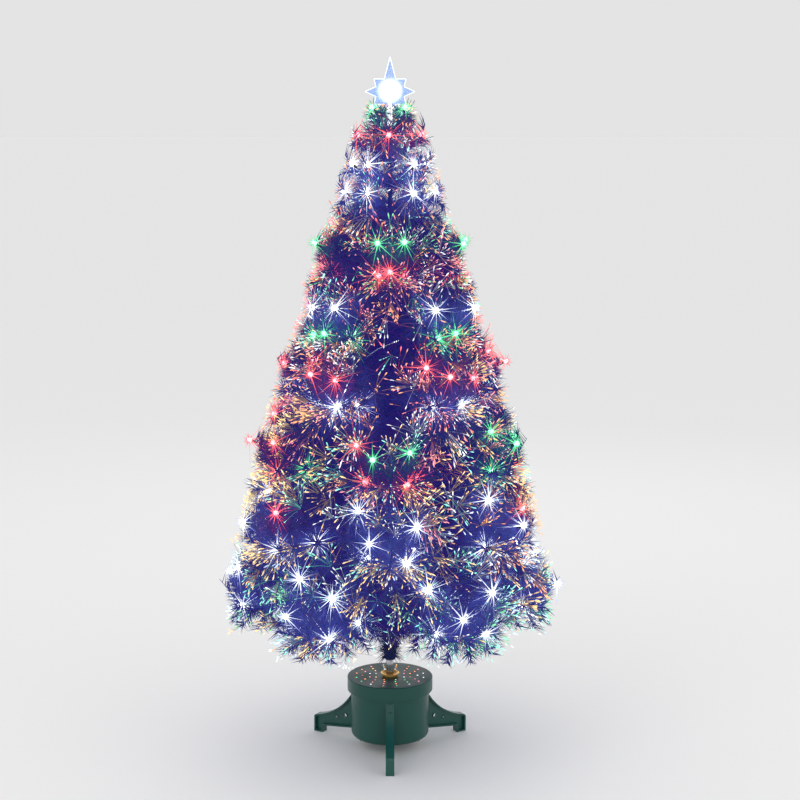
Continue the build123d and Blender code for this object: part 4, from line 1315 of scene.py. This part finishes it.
        fibres = Copies()
        colours = dict(self.fibre_colours)
        for i in range(len(sprigs.roots)):
            end = sprigs.end(i, self.spray_place)
            foliage.spray(fibres, end, unit(sprigs.directions[i]), *self.spray, colours, rng)
        for height in self.crown_heights:
            for k in range(self.crown_count):
                angle = math.radians(360 / self.crown_count * k + self.crown_twist * height)
                lean = unit(around(angle, self.crown_rise))
                foliage.spray(fibres, UP * height, lean, *self.crown_spray, colours, rng)
        shop.make(fibres, "top_fibres", shop.FIBRES, "tree", "foliage_green")
        leanings = np.cross(np.array([seat.heading for seat in seats]), UP)
        foliage.bulbs("top_bulbs", "tree", seats, leanings)


@dataclass
class Trunk:
    """The pole's dark wrapped sleeves, between the collars, whose cores and short needles carry painted
    light.
    """

    seed: int = 11
    wrap_radius: float = 0.019
    core_share: float = 0.8
    # Share of the painted blue glow that the sleeves' cores give
    core_level: float = 0.3
    low: float = 0.236
    top: float = 1.392
    collar_half: float = 0.009
    needle_spacing: float = 0.0002
    needle_length: float = 0.040
    needle_lengths: Pair = (0.6, 1.0)
    needle_width: float = 0.0012
    root_share: float = 0.7
    root_margins: Pair = (0.002, 0.022)
    outward_leans: Pair = (0.35, 0.7)
    # The least and greatest upward lean and the level of the painted light, for the lowest sleeve and the
    # rest
    low_leans: Pair = (-0.9, 1.0)
    leans: Pair = (0.6, 1.0)
    low_level: float = 0.3
    level: float = 0.8

    def build(self, foliage: Foliage) -> None:
        """Make the sleeves and their short needles.

        Args:
            foliage: how needles grow.
        """
        shop, rng = foliage.shop, np.random.default_rng(self.seed)
        folds = [joint for joint in frame["joints"] if joint["name"].endswith("_fold")]
        heights = sorted({round(float(joint["pos_m"][2]), 4) for joint in folds})
        starts = [self.low] + [z + self.collar_half for z in heights]
        ends = [z - self.collar_half for z in heights] + [self.top]
        copies = Copies()
        tube = UnitShapes.round_form(*UnitShapes.SLEEVE)
        for start, end in zip(starts, ends):
            x_axis = np.array([[1.0, 0, 0]])
            base = bases_along(UP[None], x_axis, self.wrap_radius * self.core_share, end - start)
            # Painted light: the cores give a dimmed share of the blue glow
            copies.add(tube, np.array([[0, 0, start]]), base, foliage.PAINTED_BLUE_GLOW[None] * self.core_level)
            count = int((end - start) / self.needle_spacing)
            lowest = start == self.low
            angle = rng.uniform(0, 2 * math.pi, count)
            out = np.stack([np.cos(angle), np.sin(angle), np.zeros(count)], axis=1)
            height = rng.uniform(start + self.root_margins[0], end - self.root_margins[1], count)
            roots = out * self.wrap_radius * self.root_share + UP * height[:, None]
            lean = out * rng.uniform(*self.outward_leans, (count, 1))
            lean = lean + UP * rng.uniform(*(self.low_leans if lowest else self.leans), (count, 1))
            length = rng.uniform(*self.needle_lengths, count) * self.needle_length
            bases = bases_along(lean, rng.normal(size=(count, 3)), self.needle_width, length)
            level = self.low_level if lowest else self.level
            # Painted light on the short needles, dimmer on the lowest sleeve
            copies.add(shop.shapes.needle, roots, bases, foliage.lit_by_bulbs(roots, rng) * level)
        shop.make(copies, "trunk_needles", shop.NEEDLES, "tree", "wrap_green", "trunk_wrap")


@dataclass
class Housing:
    """The light housing: bowl, lid with its lit holes, legs, dish and what is inside."""

    seed: int = 3
    ring_radii: tuple[float, ...] = (0.040, 0.055, 0.073, 0.090)
    ring_counts: tuple[int, ...] = (8, 12, 14, 16)
    hole_radius: float = 0.0023
    fit_share: float = 0.96
    sunk_share: float = 0.3
    lid_top: float = 0.191
    levels: Pair = (0.35, 1.2)
    colours: tuple[Glow, ...] = (Glow.WHITE, Glow.PINK, Glow.GREEN, Glow.ORANGE, Glow.WHITE, Glow.GOLD)

    def build(self, shop: Workshop) -> None:
        """Dress the nodes of the housing and the trunk, and light the lid's holes.

        Args:
            shop: the materials and shapes.
        """
        for finish, names in (
            ("housing_green", "base_bowl base_lid"), ("leg_green_painted_lighter", "leg_front leg_left leg_right"),
            ("vent_green", "bottom_plate"), ("screw_steel", "housing_screws hinge_pins"),
            ("socket_brass", "pole_socket"), ("lamp_ceramic", "lamp_holder"), ("lamp_glass", "lamp"),
            ("wheel_clear", "colour_wheel"), ("motor_steel", "wheel_motor"), ("jack_black", "power_jack"),
            ("pole_steel", "pole_lower pole_upper leader_stem"), ("ferrule_brass", "fibre_ferrule"),
            ("fibre_core", "fibre_core"),
            ("collar_green", " ".join(f"branch_collar_{tier.number}" for tier in TIERS)),
        ):
            for node in names.split():
                shop.dress_node(node, finish)
        rng = np.random.default_rng(self.seed)
        copies = Copies()
        for radius, count in zip(self.ring_radii, self.ring_counts):
            angles = np.radians(-90 + (180 + 360 * np.arange(count)) / count)
            height = self.lid_top - self.hole_radius * self.sunk_share
            x, y = radius * np.cos(angles), radius * np.sin(angles)
            places = np.stack([x, y, np.full(count, height)], axis=1)
            size = self.hole_radius * self.fit_share
            bases = bases_along(np.tile(UP, (count, 1)), np.tile([1.0, 0, 0], (count, 1)), size, size)
            picked = rng.integers(0, len(self.colours), count)
            light = np.array([self.colours[k].rgb for k in picked]) * rng.uniform(*self.levels, (count, 1))
            copies.add(shop.shapes.light_point, places, bases, light)
        shop.make(copies, "lid_light_points", ("lid_light",), "base", "")


@dataclass
class Star:
    """The clear star, brightest at its middle and along its edges."""

    centre: float = 1.714
    # The right half of its outline, from the top point down, off the centre
    outline: tuple[Pair, ...] = (
        (0.0, 0.085), (0.014, 0.031), (0.040, 0.031), (0.035, 0.012), (0.0625, 0.0), (0.035, -0.012),
        (0.040, -0.031), (0.014, -0.031), (0.0, -0.050),
    )
    rim_radius: float = 0.0010

    def build(self, shop: Workshop) -> None:
        """Dress the star's shells and lamp, and make the bright rim round the seam of the shells.

        Args:
            shop: the materials and shapes.
        """
        shop.dress_node("star_front", "star_clear")
        shop.dress_node("star_back", "star_clear")
        shop.dress_node("star_light", "star_lamp_white")
        right = [np.array([x, 0.0, self.centre + z]) for x, z in self.outline]
        left = [corner * np.array([-1, 1, 1]) for corner in right[-2:0:-1]]
        corners = np.array(right + left)
        runs = np.roll(corners, -1, axis=0) - corners
        leanings = np.tile([0.0, 1.0, 0.0], (len(runs), 1))
        bases = bases_along(runs, leanings, self.rim_radius, np.linalg.norm(runs, axis=1))
        copies = Copies()
        copies.add(UnitShapes.round_form(*UnitShapes.BAR), corners, bases, np.ones((len(runs), 3)))
        shop.make(copies, "star_rim", ("star_rim",), "star", "star_clear")


@dataclass
class Studio:
    """A plain pale studio, with soft light and a camera at the photograph's angle."""

    camera_distance: float = 4.5
    camera_height: float = 1.65
    focal_length: float = 79.4
    sensor_width: float = 36.0
    tilt: float = 9.1
    axis_pixel: float = 390.0
    middle_pixel: float = 400.0
    frame_pixels: float = 800.0
    floor_size: float = 300.0
    floor_grey: float = 0.90
    floor_roughness: float = 0.9
    ambient: float = 0.86
    lamps: tuple[tuple[str, Triple, float], ...] = (
        ("key_light", (-2.4, -3.2, 3.6), 22.0), ("fill_light", (3.0, -2.2, 2.2), 10.0),
        ("back_light", (0.6, 3.4, 3.0), 10.0),
    )
    lamp_size: float = 2.4
    lamp_aim: Triple = (0, 0, 0.9)

    def build(self) -> None:
        """Add the floor, the lights, the world and the camera."""
        scene = bpy.context.scene
        scene.view_settings.view_transform = "Standard"
        deselect_all()
        bpy.ops.mesh.primitive_plane_add(size=self.floor_size)
        floor = bpy.context.object
        floor.name = "studio_floor"
        material = bpy.data.materials.new("studio_floor")
        material.use_nodes = True
        shader = material.node_tree.nodes["Principled BSDF"]
        shader.inputs["Base Color"].default_value = (self.floor_grey,) * 3 + (1,)
        shader.inputs["Roughness"].default_value = self.floor_roughness
        floor.data.materials.append(material)

        world = bpy.data.worlds.new("studio")
        world.use_nodes = True
        scene.world = world
        nodes = NodeTree(world.node_tree)
        back = world.node_tree.nodes["Background"]
        path = nodes.add("ShaderNodeLightPath")
        seen = self.ambient * self.floor_grey
        strength = nodes.add("ShaderNodeMapRange", to_min=self.ambient, to_max=seen)
        nodes.link((path, "Is Camera Ray", strength, "Value"), (strength, "Result", back, "Strength"))
        back.inputs["Color"].default_value = (1, 1, 1, 1)
        for name, place, power in self.lamps:
            self.add_lamp(name, place, power)

        camera_data = bpy.data.cameras.new("camera")
        camera = bpy.data.objects.new("camera", camera_data)
        scene.collection.objects.link(camera)
        camera_data.lens = self.focal_length
        camera_data.sensor_width = self.sensor_width
        camera.location = (0, -self.camera_distance, self.camera_height)
        camera.rotation_euler = (math.radians(90 - self.tilt), 0, 0)
        camera_data.shift_x = (self.middle_pixel - self.axis_pixel) / self.frame_pixels
        scene.camera = camera

    def add_lamp(self, name: str, place: Triple, power: float) -> None:
        """Add one soft square light that faces the tree's middle.

        Args:
            name: its name.
            place: where it stands.
            power: its power in watts.
        """
        data = bpy.data.lights.new(name, "AREA")
        data.energy = power
        data.size = self.lamp_size
        lamp = bpy.data.objects.new(name, data)
        lamp.location = place
        lamp.rotation_euler = (Vector(self.lamp_aim) - Vector(place)).to_track_quat("-Z", "Y").to_euler()
        bpy.context.scene.collection.objects.link(lamp)


def main() -> None:
    """Build and dress every piece, in order."""
    logging.basicConfig(level=logging.INFO, format="%(message)s")
    Studio().build()
    shop = Workshop()
    branches = [HingedBranch(tier, i + 1) for tier in TIERS for i in range(tier.count)]
    top = TreeTop()
    branch_seats = [branch.bulb_seats() for branch in branches]
    top_seats = top.bulb_seats()
    seats = [seat for group in (*branch_seats, top_seats) for seat in group]
    foliage = Foliage(shop, seats)
    for branch, own_seats in zip(branches, branch_seats):
        branch.build(foliage, own_seats)
    top.build(foliage, top_seats)
    Trunk().build(foliage)
    Housing().build(shop)
    Star().build(shop)
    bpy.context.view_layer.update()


if __name__ == "__main__":
    main()
